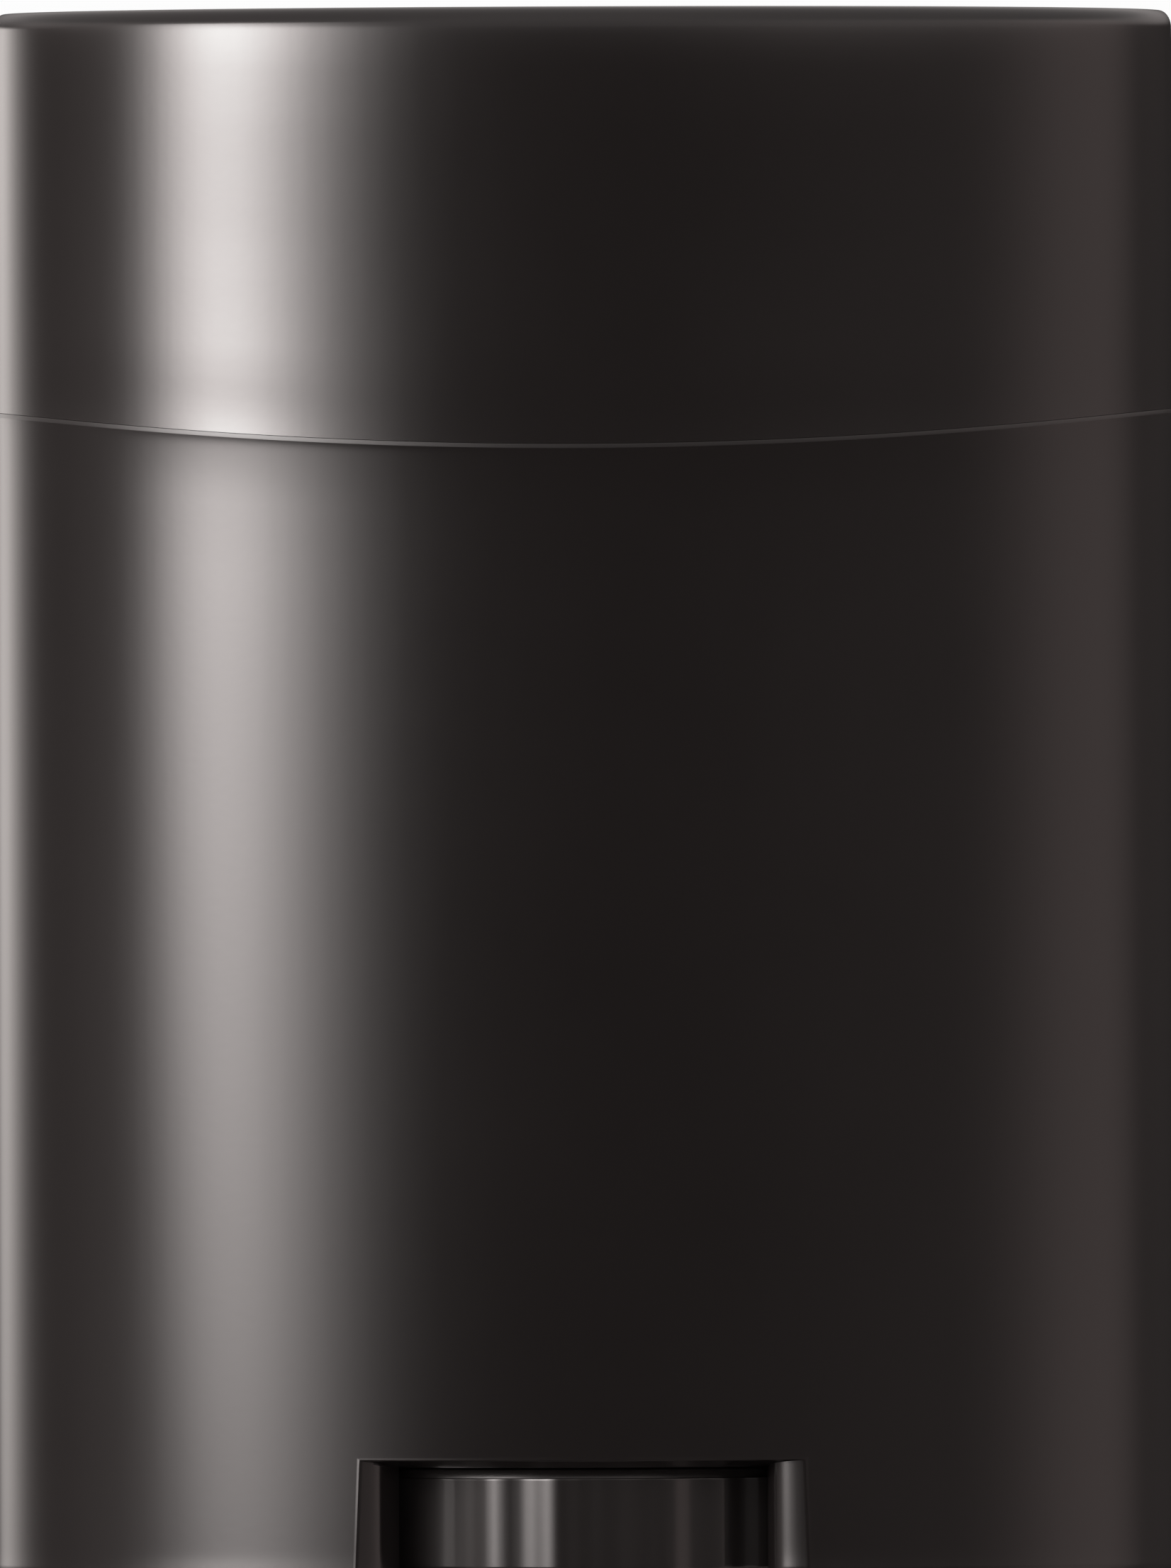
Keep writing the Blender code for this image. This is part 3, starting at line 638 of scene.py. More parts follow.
def build_dial(material):
    ribs, per = 32, 14
    count = ribs * per
    middle, swing = 11.57, 0.104
    skin = Skin()
    ts = around(count)
    slopes = [swing * ribs / middle * math.sin(2.0 * PI * i / per) for i in range(count)]
    radii = [middle - swing * math.cos(2.0 * PI * i / per) for i in range(count)]
    worn = 4 * per
    for i in range(1 - per, worn):
        left = 360.0 * i / count
        for (p0, lean0), (p1, lean1) in zip(WORN_RIBS, WORN_RIBS[1:]):
            if p0 <= left < p1:
                w = 0.5 - 0.5 * math.cos(PI * (left - p0) / (p1 - p0))
                slopes[-i % count] = math.tan(math.radians(lean0 + (lean1 - lean0) * w))
    drift = [0.0]
    for i in range(1 - per, worn + 1):
        pair = slopes[(1 - i) % count] + slopes[-i % count]
        drift.append(drift[-1] - 0.5 * pair * middle * 2.0 * PI / count)
    for k in range(1, worn + per):
        radii[(per - k) % count] = radii[per] + drift[k] - drift[-1] * k / (worn + per)

    def ring(radius, z, share=0.0):
        """share 0 is round, 1 has the ribs at full depth; a valley is at the front."""
        points = []
        for rib, t in zip(radii, ts):
            r = radius + (rib - radius) * share
            points.append((r * math.cos(t), r * math.sin(t), z))
        return skin.add(points)

    def normals(lean, share=0.0):
        side, up = math.cos(math.radians(lean)), math.sin(math.radians(lean))
        found = []
        for wave, t in zip(slopes, ts):
            slope = wave * share
            # the wall turns away from the radius by the rib's slope
            x = math.cos(t) + slope * math.sin(t)
            y = math.sin(t) - slope * math.cos(t)
            length = math.hypot(x, y)
            found.append(unit((x / length * side, y / length * side, up)))
        return found

    def hexagon(radius, z):
        points = []
        for t in ts:
            sector = (t % (PI / 3.0)) - PI / 6.0
            r = radius * math.cos(PI / 6.0) / math.cos(sector)
            points.append((r * math.cos(t), r * math.sin(t), z))
        return skin.add(points)

    # radius, height, lean before, lean after, share of the ribs
    profile = [
        (1.2, 0.62, -90, -90, 0),
        (1.5, 0.75, -60, -90, 0),
        (5.0, 0.75, -90, -90, 0),
        (9.30, 0.75, -90, -90, 0),
        (9.45, 0.70, -135, -135, 0),
        (9.50, 0.60, 180, 180, 0),
        (9.50, 0.37, 180, 180, 0),
        (9.54, 0.28, -150, -150, 0),
        (9.64, 0.25, -90, -90, 0),
        (10.4, 0.25, -90, -90, 0),
        (10.98, 0.25, -90, -90, 0),
        (11.07, 0.27, -65, -65, 0),
        (11.16, 0.33, -46, -46, 0),
        (11.36, 0.53, -46, -46, 0),
        (11.385, 0.550, -40, -60, 0),
        (11.41, 0.553, -60, -60, 0.25),
        (11.43, 0.565, -45, -45, 0.78),
        (11.43, 0.60, -14, -14, 0.97),
        (11.43, 0.65, 0, 0, 1),
        (11.43, 1.6, 0, 0, 1),
        (11.43, 2.4, 0, 0, 1),
        (11.43, 3.2, 0, 0, 1),
        (11.43, 4.04, 0, 0, 1),
        (11.43, 4.10, 6, 6, 0.98),
        (11.43, 4.125, 25, 25, 0.90),
        (11.42, 4.142, 55, 55, 0.65),
        (11.41, 4.148, 90, 90, 0.25),
        (11.41, 4.149, 90, 12, 0),
        (11.395, 4.20, 13, 13, 0),
        (11.37, 4.30, 15, 15, 0),
        (11.335, 4.42, 19, 19, 0),
        (11.31, 4.465, 35, 35, 0),
        (11.27, 4.500, 60, 60, 0),
        (11.21, 4.515, 86, 86, 0),
        (10.4, 4.516, 90, 90, 0),
        (9.9, 4.516, 90, 180, 0),
        (9.9, 3.0, 180, 180, 0),
        (9.9, 1.75, 180, 90, 0),
        (7.7, 1.75, 90, 90, 0),
        (5.6, 1.75, 90, 0, 0),
        (5.6, 4.516, 0, 90, 0),
        (4.05, 4.516, 90, 0, 0),
        (4.05, 6.35, 0, -90, 0),
        (4.75, 6.35, -90, 0, 0),
        (4.75, 6.55, 0, 32, 0),
        (4.05, 7.00, 32, 90, 0),
    ]
    rows = []
    for r, z, lean_in, lean_out, share in profile:
        rows.append((ring(r, z, share), normals(lean_in, share), normals(lean_out, share)))
    for low, high in zip(rows, rows[1:]):
        skin.strip(low[0], high[0], low[2], high[1])
    base = skin.add([(0.0, 0.0, 0.60)])[0]
    for i in range(count):
        skin.face([rows[0][0][i], rows[0][0][(i + 1) % count], base], [(0.0, 0.0, -1.0)] * 3)
    # the six-sided drive socket
    up, down = [(0.0, 0.0, 1.0)] * count, [(0.0, 0.0, -1.0)] * count
    mouth, foot = hexagon(2.80, 7.00), hexagon(2.80, 1.45)
    skin.strip(rows[-1][0], mouth, up, up)
    inwards = []
    for t in ts:
        face_at = math.floor(t / (PI / 3.0)) * (PI / 3.0) + PI / 6.0
        inwards.append((-math.cos(face_at), -math.sin(face_at), 0.0))
    skin.strip(mouth, foot, inwards, inwards)
    centre = skin.add([(0.0, 0.0, 1.45)])[0]
    for i in range(count):
        skin.face([foot[i], foot[(i + 1) % count], centre], [(0.0, 0.0, 1.0)] * 3)
    return skin.make("thumb_dial", material, "drive", "dial", slot="dial_plastic")


# --------------------------------------------------------------- inner pieces
def rounded(a, b, z, bow, lean_from, lean_to, radius, steps, centre_in, centre_z):
    """Stations of a rounded edge about a centre that lies inside the outline (a, b)."""
    found = []
    for k in range(steps + 1):
        lean = lean_from + (lean_to - lean_from) * k / steps
        turn = math.radians(lean)
        found.append(
            (
                a - centre_in + radius * math.cos(turn),
                b - centre_in + radius * math.cos(turn),
                centre_z + radius * math.sin(turn),
                bow,
                lean,
                lean,
            )
        )
    return found


def build_liner(material):
    a, b, wall = 22.30, 11.80, 0.70
    foot = 44.9 + 0.60
    p = [(a * 0.3, b * 0.3, 60.70, 0, 90, 90), (a * 0.7, b * 0.7, 60.70, 0, 90, 90)]
    p += rounded(a, b, 0, 0.0, 90, 0, 0.5, 6, 0.5, 60.20)
    p += [(a, b, foot + 4.0, 1.0, 0, 0), (a, b, foot + 0.12, 1.0, 0, 0)]
    p += rounded(a, b, 0, 1.0, 0, -90, 0.12, 4, 0.12, foot + 0.12)
    p += [(a - wall + 0.2, b - wall + 0.2, foot, 1.0, -90, -135)]
    p += [(a - wall, b - wall, foot + 0.2, 1.0, 180, 180), (a - wall, b - wall, foot + 4.0, 1.0, 180, 180)]
    p += [(a - wall, b - wall, 59.4, 0.0, 180, 180)]
    for k in range(1, 6):
        turn = 0.5 * PI * k / 5
        inset = 0.4 * (1.0 - math.cos(turn))
        p.append((a - wall - inset, b - wall - inset, 59.4 + 0.4 * math.sin(turn), 0.0, 180 + 90 * k / 5, 180 + 90 * k / 5))
    p += [(a * 0.6, b * 0.6, 59.80, 0, -90, -90), (a * 0.2, b * 0.2, 59.80, 0, -90, -90)]
    skin = Skin()
    turned(skin, p, 288)
    return skin.make("cap_liner_cup", material, "cap", "cap_liner", slot="liner_plastic")


def build_lid(material):
    a, b = 21.0, 10.5
    sa, sb, wall = 20.0, 9.5, 0.80
    foot, top = 50.0, 54.70
    p = [(a * 0.25, b * 0.25, top - 0.10, 0, 90, 90), (a * 0.70, b * 0.55, top - 0.10, 0, 90, 90)]
    # a shallow dish in the top, then a raised border
    p += [(a - 2.3, b - 2.3, top - 0.10, 0, 90, 90), (a - 2.1, b - 2.1, top - 0.06, 0, 120, 120)]
    p += [(a - 1.9, b - 1.9, top, 0, 100, 90), (a - 0.5, b - 0.5, top, 0, 90, 90)]
    p += rounded(a, b, 0, 0.0, 90, 0, 0.22, 5, 0.22, top - 0.22)
    p += rounded(a, b, 0, 0.0, 0, -90, 0.16, 4, 0.16, 53.90 + 0.16)
    p += [(sa + 0.15, sb + 0.15, 53.90, 0, -90, -90), (sa, sb, 53.75, 0, 0, 0)]
    p += [(sa, sb, 52.6, 0, 0, 0)]
    for k in range(9):  # the sealing bead round the plug
        f = k / 8.0
        p.append((sa + 0.10 * math.sin(PI * f) ** 2, sb + 0.10 * math.sin(PI * f) ** 2, 52.5 - 0.7 * f, 0, -24 * math.cos(2 * PI * f - 0.5 * PI), -24 * math.cos(2 * PI * f - 0.5 * PI)))
    p += [(sa, sb, 51.0, 0, 0, 0), (sa, sb, foot + 0.45, 0, 0, -22)]
    p += [(sa - 0.16, sb - 0.16, foot + 0.05, 0, -22, -60), (sa - 0.24, sb - 0.24, foot, 0, -90, -90)]
    p += [(sa - wall + 0.08, sb - wall + 0.08, foot, 0, -90, -135), (sa - wall, sb - wall, foot + 0.08, 0, 180, 180)]
    p += [(sa - wall, sb - wall, 53.6, 0, 180, 180)]
    for k in range(1, 6):
        turn = 0.5 * PI * k / 5
        inset = 0.4 * (1.0 - math.cos(turn))
        p.append((sa - wall - inset, sb - wall - inset, 53.6 + 0.4 * math.sin(turn), 0.0, 180 + 90 * k / 5, 180 + 90 * k / 5))
    p += [(sa * 0.6, sb * 0.6, 54.0, 0, -90, -90), (sa * 0.2, sb * 0.2, 54.0, 0, -90, -90)]
    skin = Skin()
    turned(skin, p, 288)
    return skin.make("hygiene_lid_clear", material, "lid", "hygiene_lid", slot="lid_clear")


def build_bar(material):
    a, b = 20.0, 9.5
    p = []
    # the dome, from its crown down to the flank
    for k in range(26):
        angle = 0.5 * PI * (1.0 - k / 26.0)
        c, s = math.cos(angle), math.sin(angle)
        share = max(0.03, c)
        lean = 90.0 - math.degrees(math.atan(3.0 * c / (11.0 * max(s, 0.05))))
        p.append((a * share, b * share, 48.20 + 3.0 * s, 0.0, max(lean, 8.0), max(lean, 8.0)))
    p += [(a, b, 48.20, 0, 3, 0), (a, b, 47.8, 0, 0, 0), (a, b, 40.0, 0, 0, 0), (a, b, 27.0, 0, 0, 0), (a, b, 13.62, 0, 0, 0)]
    p += [(a - 0.12, b - 0.12, 13.50, 0, -90, -90), (a - 1.05, b - 1.05, 13.50, 0, -90, 0)]
    p += [(a - 1.05, b - 1.05, 10.30, 0, 0, -90)]
    skin = Skin()
    count = 288
    rows = turned(skin, p, count, closed_ends=(True, False))
    ts = around(count)

    def circle(r, z):
        return skin.add([(r * math.cos(t), r * math.sin(t), z) for t in ts])

    down = [(0.0, 0.0, -1.0)] * count
    inwards = [(-math.cos(t), -math.sin(t), 0.0) for t in ts]
    c0, c1 = circle(5.30, 10.30), circle(5.30, 15.30)
    c2, c3 = circle(3.60, 15.30), circle(3.60, 48.60)
    skin.strip(rows[-1], c0, down, down)
    skin.strip(c0, c1, inwards, inwards)
    skin.strip(c1, c2, down, down)
    skin.strip(c2, c3, inwards, inwards)
    top = skin.add([(0.0, 0.0, 48.60)])[0]
    for i in range(count):
        skin.face([c3[i], c3[(i + 1) % count], top], [(0.0, 0.0, -1.0)] * 3)
    return skin.make("sunscreen_bar", material, "lift", "product_bar", slot="sunscreen_wax")


def build_barrel(material):
    count = 288
    ts = around(count)
    neck = 44.9 - 0.40
    a, b, na, nb = 21.85, 11.35, 21.30, 10.80
    ia, ib = 20.30, 9.80
    # from the shaft bore, out under the floor, up the wall, over the neck and down the bore
    p = [
        (20.60, 10.10, 7.30, 0, -90, 180),
        (20.60, 10.10, 6.35, 0, 180, -90),
        (a - 0.15, b - 0.15, 6.35, 0, -90, -90),
        (a, b, 6.50, 0, 0, 0),
        (a, b, 20.0, 0.3, 0, 0),
        (a, b, neck - 0.25, 1.0, 0, 0),
        (a - 0.07, b - 0.07, neck - 0.07, 1.0, 45, 45),
        (a - 0.25, b - 0.25, neck, 1.0, 90, 90),
        (na + 0.12, nb + 0.12, neck, 1.0, 90, 90),
        (na + 0.03, nb + 0.03, neck + 0.05, 1.0, 40, 40),
        (na, nb, neck + 0.16, 1.0, 0, 0),
        (na, nb, neck + 1.6, 0.8, 0, 0),
        (na, nb, 49.3, 0.0, 0, 0),
    ]
    for k in range(11):  # the snap bead
        f = k / 10.0
        lift = 0.12 * math.sin(PI * f) ** 2
        lean = -math.degrees(math.atan(0.12 * PI * math.sin(2 * PI * f) / 0.9))
        p.append((na + lift, nb + lift, 49.55 + 0.9 * f, 0, lean, lean))
    p += [(na, nb, 51.2, 0, 0, 0), (na, nb, 53.25, 0, 0, 0)]
    p += rounded(na, nb, 0, 0.0, 0, 90, 0.35, 6, 0.35, 53.25)
    p += [(ia + 0.12, ib + 0.12, 53.60, 0, 90, 135), (ia, ib, 53.48, 0, 180, 180)]
    p += [(ia, ib, 45.0, 0, 180, 180), (ia, ib, 25.0, 0, 180, 180), (ia, ib, 9.0, 0, 180, 180)]
    p += [(ia - 0.15, ib - 0.15, 8.65, 0, 135, 135), (ia - 0.5, ib - 0.5, 8.50, 0, 90, 90)]
    skin = Skin()
    rows = turned(skin, p, count, closed_ends=(False, False))

    def circle(r, z):
        return skin.add([(r * math.cos(t), r * math.sin(t), z) for t in ts])

    up, down = [(0.0, 0.0, 1.0)] * count, [(0.0, 0.0, -1.0)] * count
    outwards = [(math.cos(t), math.sin(t), 0.0) for t in ts]
    inwards = [(-x, -y, 0.0) for x, y, _ in outwards]
    foot, head = circle(5.0, 8.50), circle(5.0, 9.10)
    bore_top, bore_low = circle(3.50, 9.10), circle(3.50, 7.30)
    skin.strip(rows[-1], foot, up, up)
    skin.strip(foot, head, outwards, outwards)
    skin.strip(head, bore_top, up, up)
    skin.strip(bore_top, bore_low, inwards, inwards)
    skin.strip(bore_low, rows[0], down, down)
    return skin.make("inner_barrel_tube", material, "case", "inner_barrel", slot="barrel_plastic")


# ------------------------------------------------------------------ materials
class Nodes:
    """A short way to write a node tree."""

    def __init__(self, tree):
        self.tree = tree

    def new(self, kind, **values):
        node = self.tree.nodes.new(kind)
        for key, value in values.items():
            if key.startswith("in_"):
                self.put(node.inputs[key[3:].replace("_", " ")], value)
            else:
                setattr(node, key, value)
        return node

    def put(self, socket, value):
        if hasattr(value, "is_output"):
            self.tree.links.new(value, socket)
        else:
            socket.default_value = value

    def math(self, operation, a, b=None, c=None, clamp=False):
        node = self.tree.nodes.new("ShaderNodeMath")
        node.operation = operation
        node.use_clamp = clamp
        for socket, value in zip(node.inputs, (a, b, c)):
            if value is not None:
                self.put(socket, value)
        return node.outputs[0]

    def ramp(self, value, low, high, to_low, to_high, smooth=True):
        node = self.tree.nodes.new("ShaderNodeMapRange")
        if smooth:
            node.interpolation_type = "SMOOTHSTEP"
        for name, v in (("Value", value), ("From Min", low), ("From Max", high), ("To Min", to_low), ("To Max", to_high)):
            self.put(node.inputs[name], v)
        return node.outputs[0]


def moulded(name, color, rough, rough_swing, grain, grain_size, specular=0.5, coat=0.0,
            tint=0.10, streak=0.0, speck=0.0, transmission=0.0, ior=1.5, subsurface=0.0, rim=0.0):
    """Moulded plastic: colour drift, cloudy gloss, flow streaks up the piece, fine grain.

    rim is how much duller the bead over the ridge of the case's upper edge is.
    """
    mat = bpy.data.materials.new(name)
    mat.use_nodes = True
    tree = mat.node_tree
    n = Nodes(tree)
    shader = tree.nodes["Principled BSDF"]
    where = n.new("ShaderNodeTexCoord").outputs["Object"]

    # broad drift of colour and gloss, about 9 mm across
    drift = n.new("ShaderNodeTexNoise", in_Scale=110.0, in_Detail=3.0, in_Roughness=0.5)
    n.put(drift.inputs["Vector"], where)
    # flow streaks that run up the piece
    stretch = n.new("ShaderNodeMapping")
    stretch.inputs["Scale"].default_value = (1.0, 1.0, 0.035)
    n.put(stretch.inputs["Vector"], where)
    flow = n.new("ShaderNodeTexNoise", in_Scale=1900.0, in_Detail=2.0, in_Roughness=0.55)
    n.put(flow.inputs["Vector"], stretch.outputs[0])
    # fine grain of the tool's surface
    fine = n.new("ShaderNodeTexNoise", in_Scale=1000.0 / grain_size, in_Detail=3.0, in_Roughness=0.6)
    n.put(fine.inputs["Vector"], where)

    dark = tuple(c * (1.0 - tint) for c in color)
    light = tuple(min(1.0, c * (1.0 + tint)) for c in color)
    colour = n.new("ShaderNodeMix", data_type="RGBA")
    colour.inputs["A"].default_value = (0, 0, 0, 1)
    sockets = [s for s in colour.inputs if s.type == "RGBA"]
    sockets[0].default_value = (*dark, 1.0)
    sockets[1].default_value = (*light, 1.0)
    n.put(colour.inputs["Factor"], drift.outputs["Fac"])
    base = [s for s in colour.outputs if s.type == "RGBA"][0]
    if speck:
        dots = n.new("ShaderNodeTexVoronoi", in_Scale=900.0)
        n.put(dots.inputs["Vector"], where)
        mask = n.ramp(dots.outputs["Distance"], 0.05, 0.16, speck, 0.0)
        spotted = n.new("ShaderNodeMix", data_type="RGBA")
        pair = [s for s in spotted.inputs if s.type == "RGBA"]
        n.put(pair[0], base)
        pair[1].default_value = (*tuple(min(1.0, c * 1.25) for c in color), 1.0)
        n.put(spotted.inputs["Factor"], mask)
        base = [s for s in spotted.outputs if s.type == "RGBA"][0]
    n.put(shader.inputs["Base Color"], base)

    swing = n.math("MULTIPLY_ADD", drift.outputs["Fac"], rough_swing, rough - 0.5 * rough_swing)
    swing = n.math("MULTIPLY_ADD", fine.outputs["Fac"], 0.4 * rough_swing, swing)
    swing = n.math("SUBTRACT", swing, 0.2 * rough_swing)
    if streak:
        swing = n.math("MULTIPLY_ADD", flow.outputs["Fac"], streak, swing)
        swing = n.math("SUBTRACT", swing, 0.5 * streak)
    if rim:
        axes = n.new("ShaderNodeSeparateXYZ")
        n.put(axes.inputs[0], where)
        level = n.math("MULTIPLY", n.math("MULTIPLY", axes.outputs[0], axes.outputs[0]), -BOW / MM)
        level = n.math("ADD", axes.outputs[2], level)
        mask = n.ramp(level, (WALL_TOP - 0.02) * MM, (WALL_TOP + 0.03) * MM, 0.0, rim)
        swing = n.math("ADD", swing, mask)
    n.put(shader.inputs["Roughness"], swing)

    height = n.math("MULTIPLY", fine.outputs["Fac"], grain)
    if streak:
        height = n.math("MULTIPLY_ADD", flow.outputs["Fac"], grain * 1.2, height)
    relief = n.new("ShaderNodeBump", in_Strength=1.0, in_Distance=0.001)
    n.put(relief.inputs["Height"], height)
    n.put(shader.inputs["Normal"], relief.outputs["Normal"])

    shader.inputs["Specular IOR Level"].default_value = specular
    shader.inputs["IOR"].default_value = ior
    shader.inputs["Coat Weight"].default_value = coat
    shader.inputs["Transmission Weight"].default_value = transmission
    shader.inputs["Subsurface Weight"].default_value = subsurface
    return mat


def lets_light_through(mat):
    """Lets the lamps light what lies under a clear piece."""
    tree = mat.node_tree
    n = Nodes(tree)
    clear = n.new("ShaderNodeBsdfTransparent")
    clear.inputs["Color"].default_value = (0.92, 0.93, 0.93, 1.0)
    blend = n.new("ShaderNodeMixShader")
    n.put(blend.inputs[0], n.new("ShaderNodeLightPath").outputs["Is Shadow Ray"])
    n.put(blend.inputs[1], tree.nodes["Principled BSDF"].outputs[0])
    n.put(blend.inputs[2], clear.outputs[0])
    n.put(tree.nodes["Material Output"].inputs["Surface"], blend.outputs[0])


BLACK = (0.0046, 0.0038, 0.0037)
case_mat = moulded("case_finish", BLACK, 0.205, 0.024, 0.0010, 0.35, specular=0.50, streak=0.016, rim=0.13)
cap_mat = moulded("cap_finish", BLACK, 0.200, 0.024, 0.0010, 0.35, specular=0.50, streak=0.016)
dial_mat = moulded("dial_finish", (0.0075, 0.0066, 0.0064), 0.22, 0.030, 0.0010, 0.30, specular=0.50)
liner_mat = moulded("liner_finish", (0.018, 0.0165, 0.016), 0.42, 0.06, 0.004, 0.30)
barrel_mat = moulded("barrel_finish", (0.60, 0.59, 0.57), 0.38, 0.05, 0.0015, 0.4, tint=0.02, streak=0.02)
spindle_mat = moulded("spindle_finish", (0.63, 0.62, 0.60), 0.36, 0.05, 0.0015, 0.3, tint=0.02)
carrier_mat = moulded("carrier_finish", (0.61, 0.60, 0.58), 0.42, 0.05, 0.002, 0.3, tint=0.02)
seal_mat = moulded("seal_finish", (0.028, 0.028, 0.030), 0.55, 0.08, 0.004, 0.12)
wax_mat = moulded("wax_finish", (0.68, 0.66, 0.60), 0.44, 0.10, 0.006, 0.9, tint=0.03, speck=0.25)
lid_mat = moulded("lid_finish", (0.95, 0.965, 0.97), 0.07, 0.03, 0.0006, 0.6, tint=0.01, transmission=0.97, ior=1.49)
lets_light_through(lid_mat)

build_case(case_mat)
build_cap(cap_mat)
build_dial(dial_mat)
build_liner(liner_mat)
build_lid(lid_mat)
build_bar(wax_mat)
build_barrel(barrel_mat)
for node, material in (("spindle", spindle_mat), ("carrier", carrier_mat), ("spindle_seal", seal_mat)):
    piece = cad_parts[node]
    piece.data.materials.clear()
    piece.data.materials.append(material)


# --------------------------------------------------------------------- studio
def build_world():
    """White to the camera; to the object a dim room with soft panels round it.

    The direction is read as an angle round the stick, 0 at the front and
    growing to the left, and as a height.
    """
    world = bpy.data.worlds.new("studio")
    world.use_nodes = True
    bpy.context.scene.world = world
    tree = world.node_tree
    tree.nodes.clear()
    n = Nodes(tree)
    way = n.new("ShaderNodeTexCoord").outputs["Generated"]
    split = n.new("ShaderNodeSeparateXYZ")
    n.put(split.inputs[0], way)
    x, y, z = split.outputs
    turn = n.math("ARCTAN2", n.math("MULTIPLY", x, -1.0), n.math("MULTIPLY", y, -1.0))
    turn = n.math("MULTIPLY", turn, 180.0 / PI)

    def panel(a, b, c, d):
        """Rises from a to b and falls from c to d, in degrees to the left."""
        rise = n.ramp(turn, a, b, 0.0, 1.0)
        fall = n.ramp(turn, c, d, 1.0, 0.0)
        return n.math("MULTIPLY", rise, fall)

    def tinted(weight, color, strength):
        node = n.new("ShaderNodeVectorMath", operation="SCALE")
        node.inputs[0].default_value = tuple(c * strength for c in color)
        n.put(node.inputs["Scale"], weight)
        return node.outputs[0]

    low = n.ramp(z, 0.30, 0.62, 1.0, 0.0)
    side = n.math("MULTIPLY", panel(48.0, 66.0, 96.0, 150.0), low)
    tail = n.math("MULTIPLY", panel(46.0, 66.0, 74.0, 96.0), low)
    right = n.math("MULTIPLY", panel(-117.0, -88.0, -78.0, -46.0), low)
    wide = n.math("MULTIPLY", panel(-165.0, -108.0, -54.0, 2.0), low)
    lift = n.math("MULTIPLY", n.math("SUBTRACT", z, 0.05), 3.3)
    lift = n.math("MINIMUM", n.math("MAXIMUM", lift, 0.0), 0.45)
    both = n.math("ADD", panel(-178.0, -120.0, -30.0, -4.0), panel(54.0, 78.0, 108.0, 135.0))
    lift = n.math("MULTIPLY", n.math("MULTIPLY", both, low), lift)
    over = n.math("MULTIPLY", n.math("SUBTRACT", z, 0.08), 2.0)
    over = n.math("MINIMUM", n.math("MAXIMUM", over, 0.0), 0.75)
    parts = [
        tinted(1.0, (1.0, 0.90, 0.89), 0.04),
        tinted(side, (1.0, 0.87, 0.84), 0.21),
        tinted(tail, (1.0, 0.87, 0.84), 0.18),
        tinted(right, (1.0, 0.80, 0.77), 0.59),
        tinted(wide, (1.0, 0.86, 0.83), 0.15),
        tinted(lift, (1.0, 0.88, 0.85), 1.0),
        tinted(over, (1.0, 0.93, 0.915), 1.0),
    ]
    total = parts[0]
    for part in parts[1:]:
        add = n.new("ShaderNodeVectorMath", operation="ADD")
        n.put(add.inputs[0], total)
        n.put(add.inputs[1], part)
        total = add.outputs[0]
    room = n.new("ShaderNodeBackground")
    n.put(room.inputs["Color"], total)
    white = n.new("ShaderNodeBackground")
    white.inputs["Color"].default_value = (0.98, 0.98, 0.98, 1.0)
    path = n.new("ShaderNodeLightPath")
    blend = n.new("ShaderNodeMixShader")
    n.put(blend.inputs[0], path.outputs["Is Camera Ray"])
    n.put(blend.inputs[1], room.outputs[0])
    n.put(blend.inputs[2], white.outputs[0])
    out = n.new("ShaderNodeOutputWorld")
    n.put(out.inputs["Surface"], blend.outputs[0])


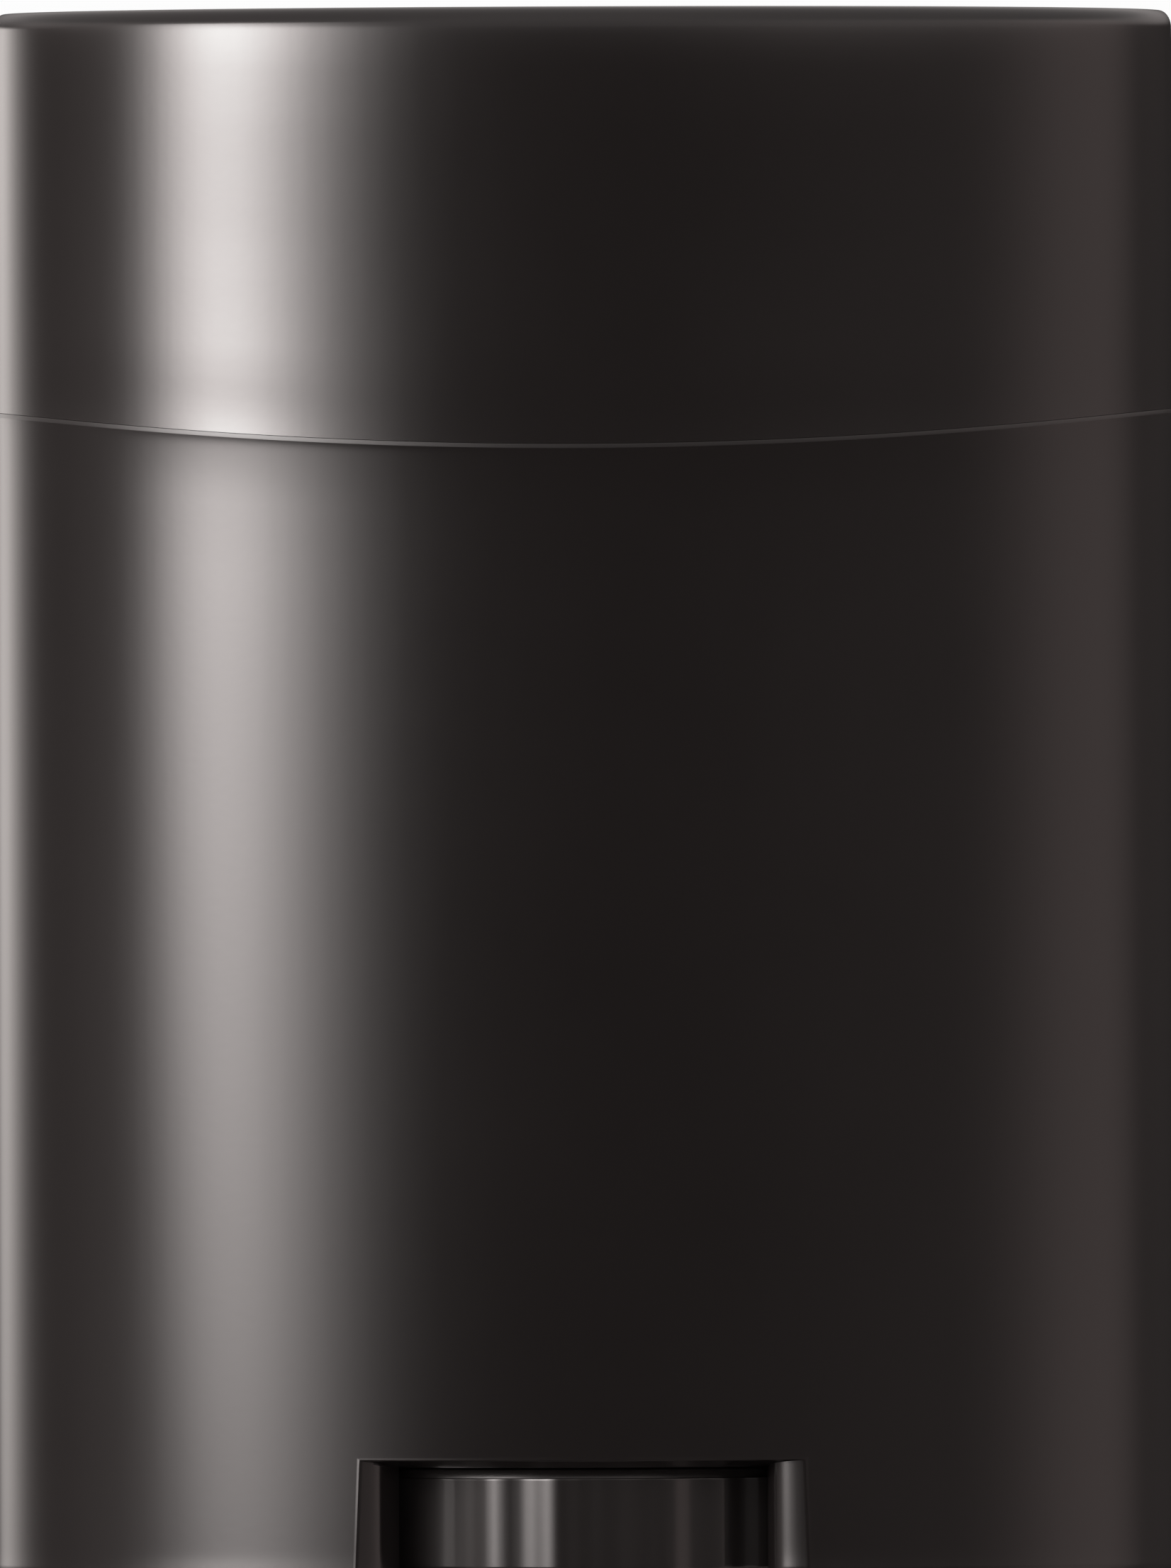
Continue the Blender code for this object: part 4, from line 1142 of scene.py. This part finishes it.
def soft_panel(name, at, target, size, color, base, slope, most, spread, bend=0.0, knee=None, fade=None,
               crown=None, crest=None, pale=None):
    """An upright soft panel: brightest along its middle line and brighter higher up.

    Its radiance is base + slope * height in m, at the most `most`, times a
    bell across the panel, whose two spreads (in m) are for its two flanks.
    The foot of the bell's middle line bends aside by bend (in m).  knee is a
    height and how much steeper the radiance grows over it; fade is the pair of
    heights between which the radiance falls off to nothing.  crown is a height,
    how much the radiance grows per m over it, and the most it grows by.  crest
    is a pair of heights between which the middle line bends aside, and how far.
    pale is a pair of radiances between which the light turns more neutral.
    """
    lamp = bpy.data.lights.new(name, "AREA")
    lamp.shape = "RECTANGLE"
    lamp.size, lamp.size_y = size
    lamp.energy = PI * size[0] * size[1]
    lamp.color = color
    lamp.use_nodes = True
    n = Nodes(lamp.node_tree)
    split = n.new("ShaderNodeSeparateXYZ")
    n.put(split.inputs[0], n.new("ShaderNodeNewGeometry").outputs["Parametric"])
    across = n.math("MULTIPLY_ADD", split.outputs[0], size[0], -0.5 * size[0])
    height = n.math("MULTIPLY_ADD", split.outputs[1], size[1], at[2] - 0.5 * size[1])
    if bend:
        under = n.ramp(height, -0.005, 0.030, 1.0, 0.0, smooth=False)
        across = n.math("MULTIPLY_ADD", under, bend, across)
    if crest:
        aside = n.ramp(height, crest[0], crest[1], 0.0, crest[2], smooth=False)
        across = n.math("SUBTRACT", across, aside)
    flank = n.math("GREATER_THAN", across, 0.0)
    flank = n.math("MULTIPLY_ADD", flank, spread[1] - spread[0], spread[0])
    bell = n.math("DIVIDE", across, flank)
    bell = n.math("MULTIPLY", bell, bell)
    bell = n.math("EXPONENT", n.math("MULTIPLY", bell, -0.5))
    rise = n.math("MULTIPLY_ADD", height, slope, base)
    if knee:
        over = n.math("MAXIMUM", n.math("SUBTRACT", height, knee[0]), 0.0)
        rise = n.math("MULTIPLY_ADD", over, knee[1], rise)
    rise = n.math("MINIMUM", rise, most)
    if crown:
        more = n.math("MULTIPLY", n.math("SUBTRACT", height, crown[0]), crown[1])
        more = n.math("MINIMUM", n.math("MAXIMUM", more, 0.0), crown[2])
        rise = n.math("ADD", rise, more)
    shine = n.math("MULTIPLY", n.math("MAXIMUM", rise, 0.3), bell)
    if fade:
        shine = n.math("MULTIPLY", shine, n.ramp(height, fade[0], fade[1], 1.0, 0.0))
    n.put(lamp.node_tree.nodes["Emission"].inputs["Strength"], shine)
    if pale:
        colour = n.new("ShaderNodeCombineColor")
        for socket, share in zip(colour.inputs, (0.965, 1.03, 1.035)):
            n.put(socket, n.ramp(shine, pale[0], pale[1], 1.0, share))
        n.put(lamp.node_tree.nodes["Emission"].inputs["Color"], colour.outputs[0])
    obj = bpy.data.objects.new(name, lamp)
    bpy.context.collection.objects.link(obj)
    obj.location = at
    obj.rotation_euler = (Vector(target) - Vector(at)).to_track_quat("-Z", "Y").to_euler()
    obj.visible_camera = False
    return obj


def build_floor():
    mesh = bpy.data.meshes.new("floor")
    far, level = 8.0, -0.00003
    corners = [(-far, -far, level), (far, -far, level), (far, far, level), (-far, far, level)]
    mesh.from_pydata(corners, [], [(0, 1, 2, 3)])
    mat = bpy.data.materials.new("floor_pale")
    mat.use_nodes = True
    n = Nodes(mat.node_tree)
    shader = mat.node_tree.nodes["Principled BSDF"]
    noise = n.new("ShaderNodeTexNoise", in_Scale=40.0, in_Detail=3.0)
    n.put(noise.inputs["Vector"], n.new("ShaderNodeTexCoord").outputs["Object"])
    n.put(shader.inputs["Roughness"], n.ramp(noise.outputs["Fac"], 0.3, 0.7, 0.55, 0.65))
    shader.inputs["Base Color"].default_value = (0.84, 0.84, 0.84, 1.0)
    shader.inputs["Emission Color"].default_value = (1.0, 0.99, 0.98, 1.0)
    shader.inputs["Emission Strength"].default_value = 0.25
    mesh.materials.append(mat)
    obj = bpy.data.objects.new("floor", mesh)
    bpy.context.collection.objects.link(obj)
    # kept out of the black plastic's mirror images, as is its edge
    obj.visible_glossy = False
    obj.visible_shadow = False


def upright(name, aim, turn, reach, low, high, width, *rest, **more):
    """A soft panel at turn degrees to the left of the front, reach m from aim."""
    turn = math.radians(turn)
    middle = 0.5 * (low + high)
    at = (aim[0] - reach * math.sin(turn), aim[1] - reach * math.cos(turn), middle)
    soft_panel(name, at, (aim[0], aim[1], middle), (width, high - low), *rest, **more)


build_world()
build_floor()
# the main panel stands to the left of the front, a weaker one at the left behind
upright(
    "main_panel", (-0.0144, -0.0103), 46.65, 0.27, -0.060, 0.200, 0.30,
    (1.0, 0.925, 0.907), 6.15, 204.0, 26.8, (0.0405, 0.0472), bend=-0.0225, knee=(0.046, 60.0),
    fade=(0.132, 0.200), crest=(0.058, 0.079, 0.006),
    pale=(18.0, 24.0),
)
upright(
    "rim_panel", (-0.0229, -0.0030), 135.0, 0.30, -0.060, 0.115, 0.37,
    (1.0, 0.93, 0.90), 2.0, 27.0, 2.92, (0.0690, 0.0690), fade=(0.080, 0.115),
    crown=(0.0530, 60.0, 0.52),
)

camera = bpy.data.cameras.new("camera")
camera.sensor_width = 36.0
camera.lens = 36.0 * 1.5 / 0.06243
camera.clip_start, camera.clip_end = 0.05, 50.0
eye = bpy.data.objects.new("camera", camera)
bpy.context.collection.objects.link(eye)
yaw, side = math.radians(0.75), 0.000056
place = Vector((1.5 * math.sin(yaw) + side, -1.5 * math.cos(yaw), 0.03158))
look = Vector((-math.sin(yaw), math.cos(yaw), 0.0))
eye.location = place
eye.rotation_mode = "QUATERNION"
eye.rotation_quaternion = look.to_track_quat("-Z", "Y") @ Matrix.Rotation(math.radians(-0.2), 3, "Z").to_quaternion()
bpy.context.scene.camera = eye
bpy.context.scene.view_settings.view_transform = "Standard"
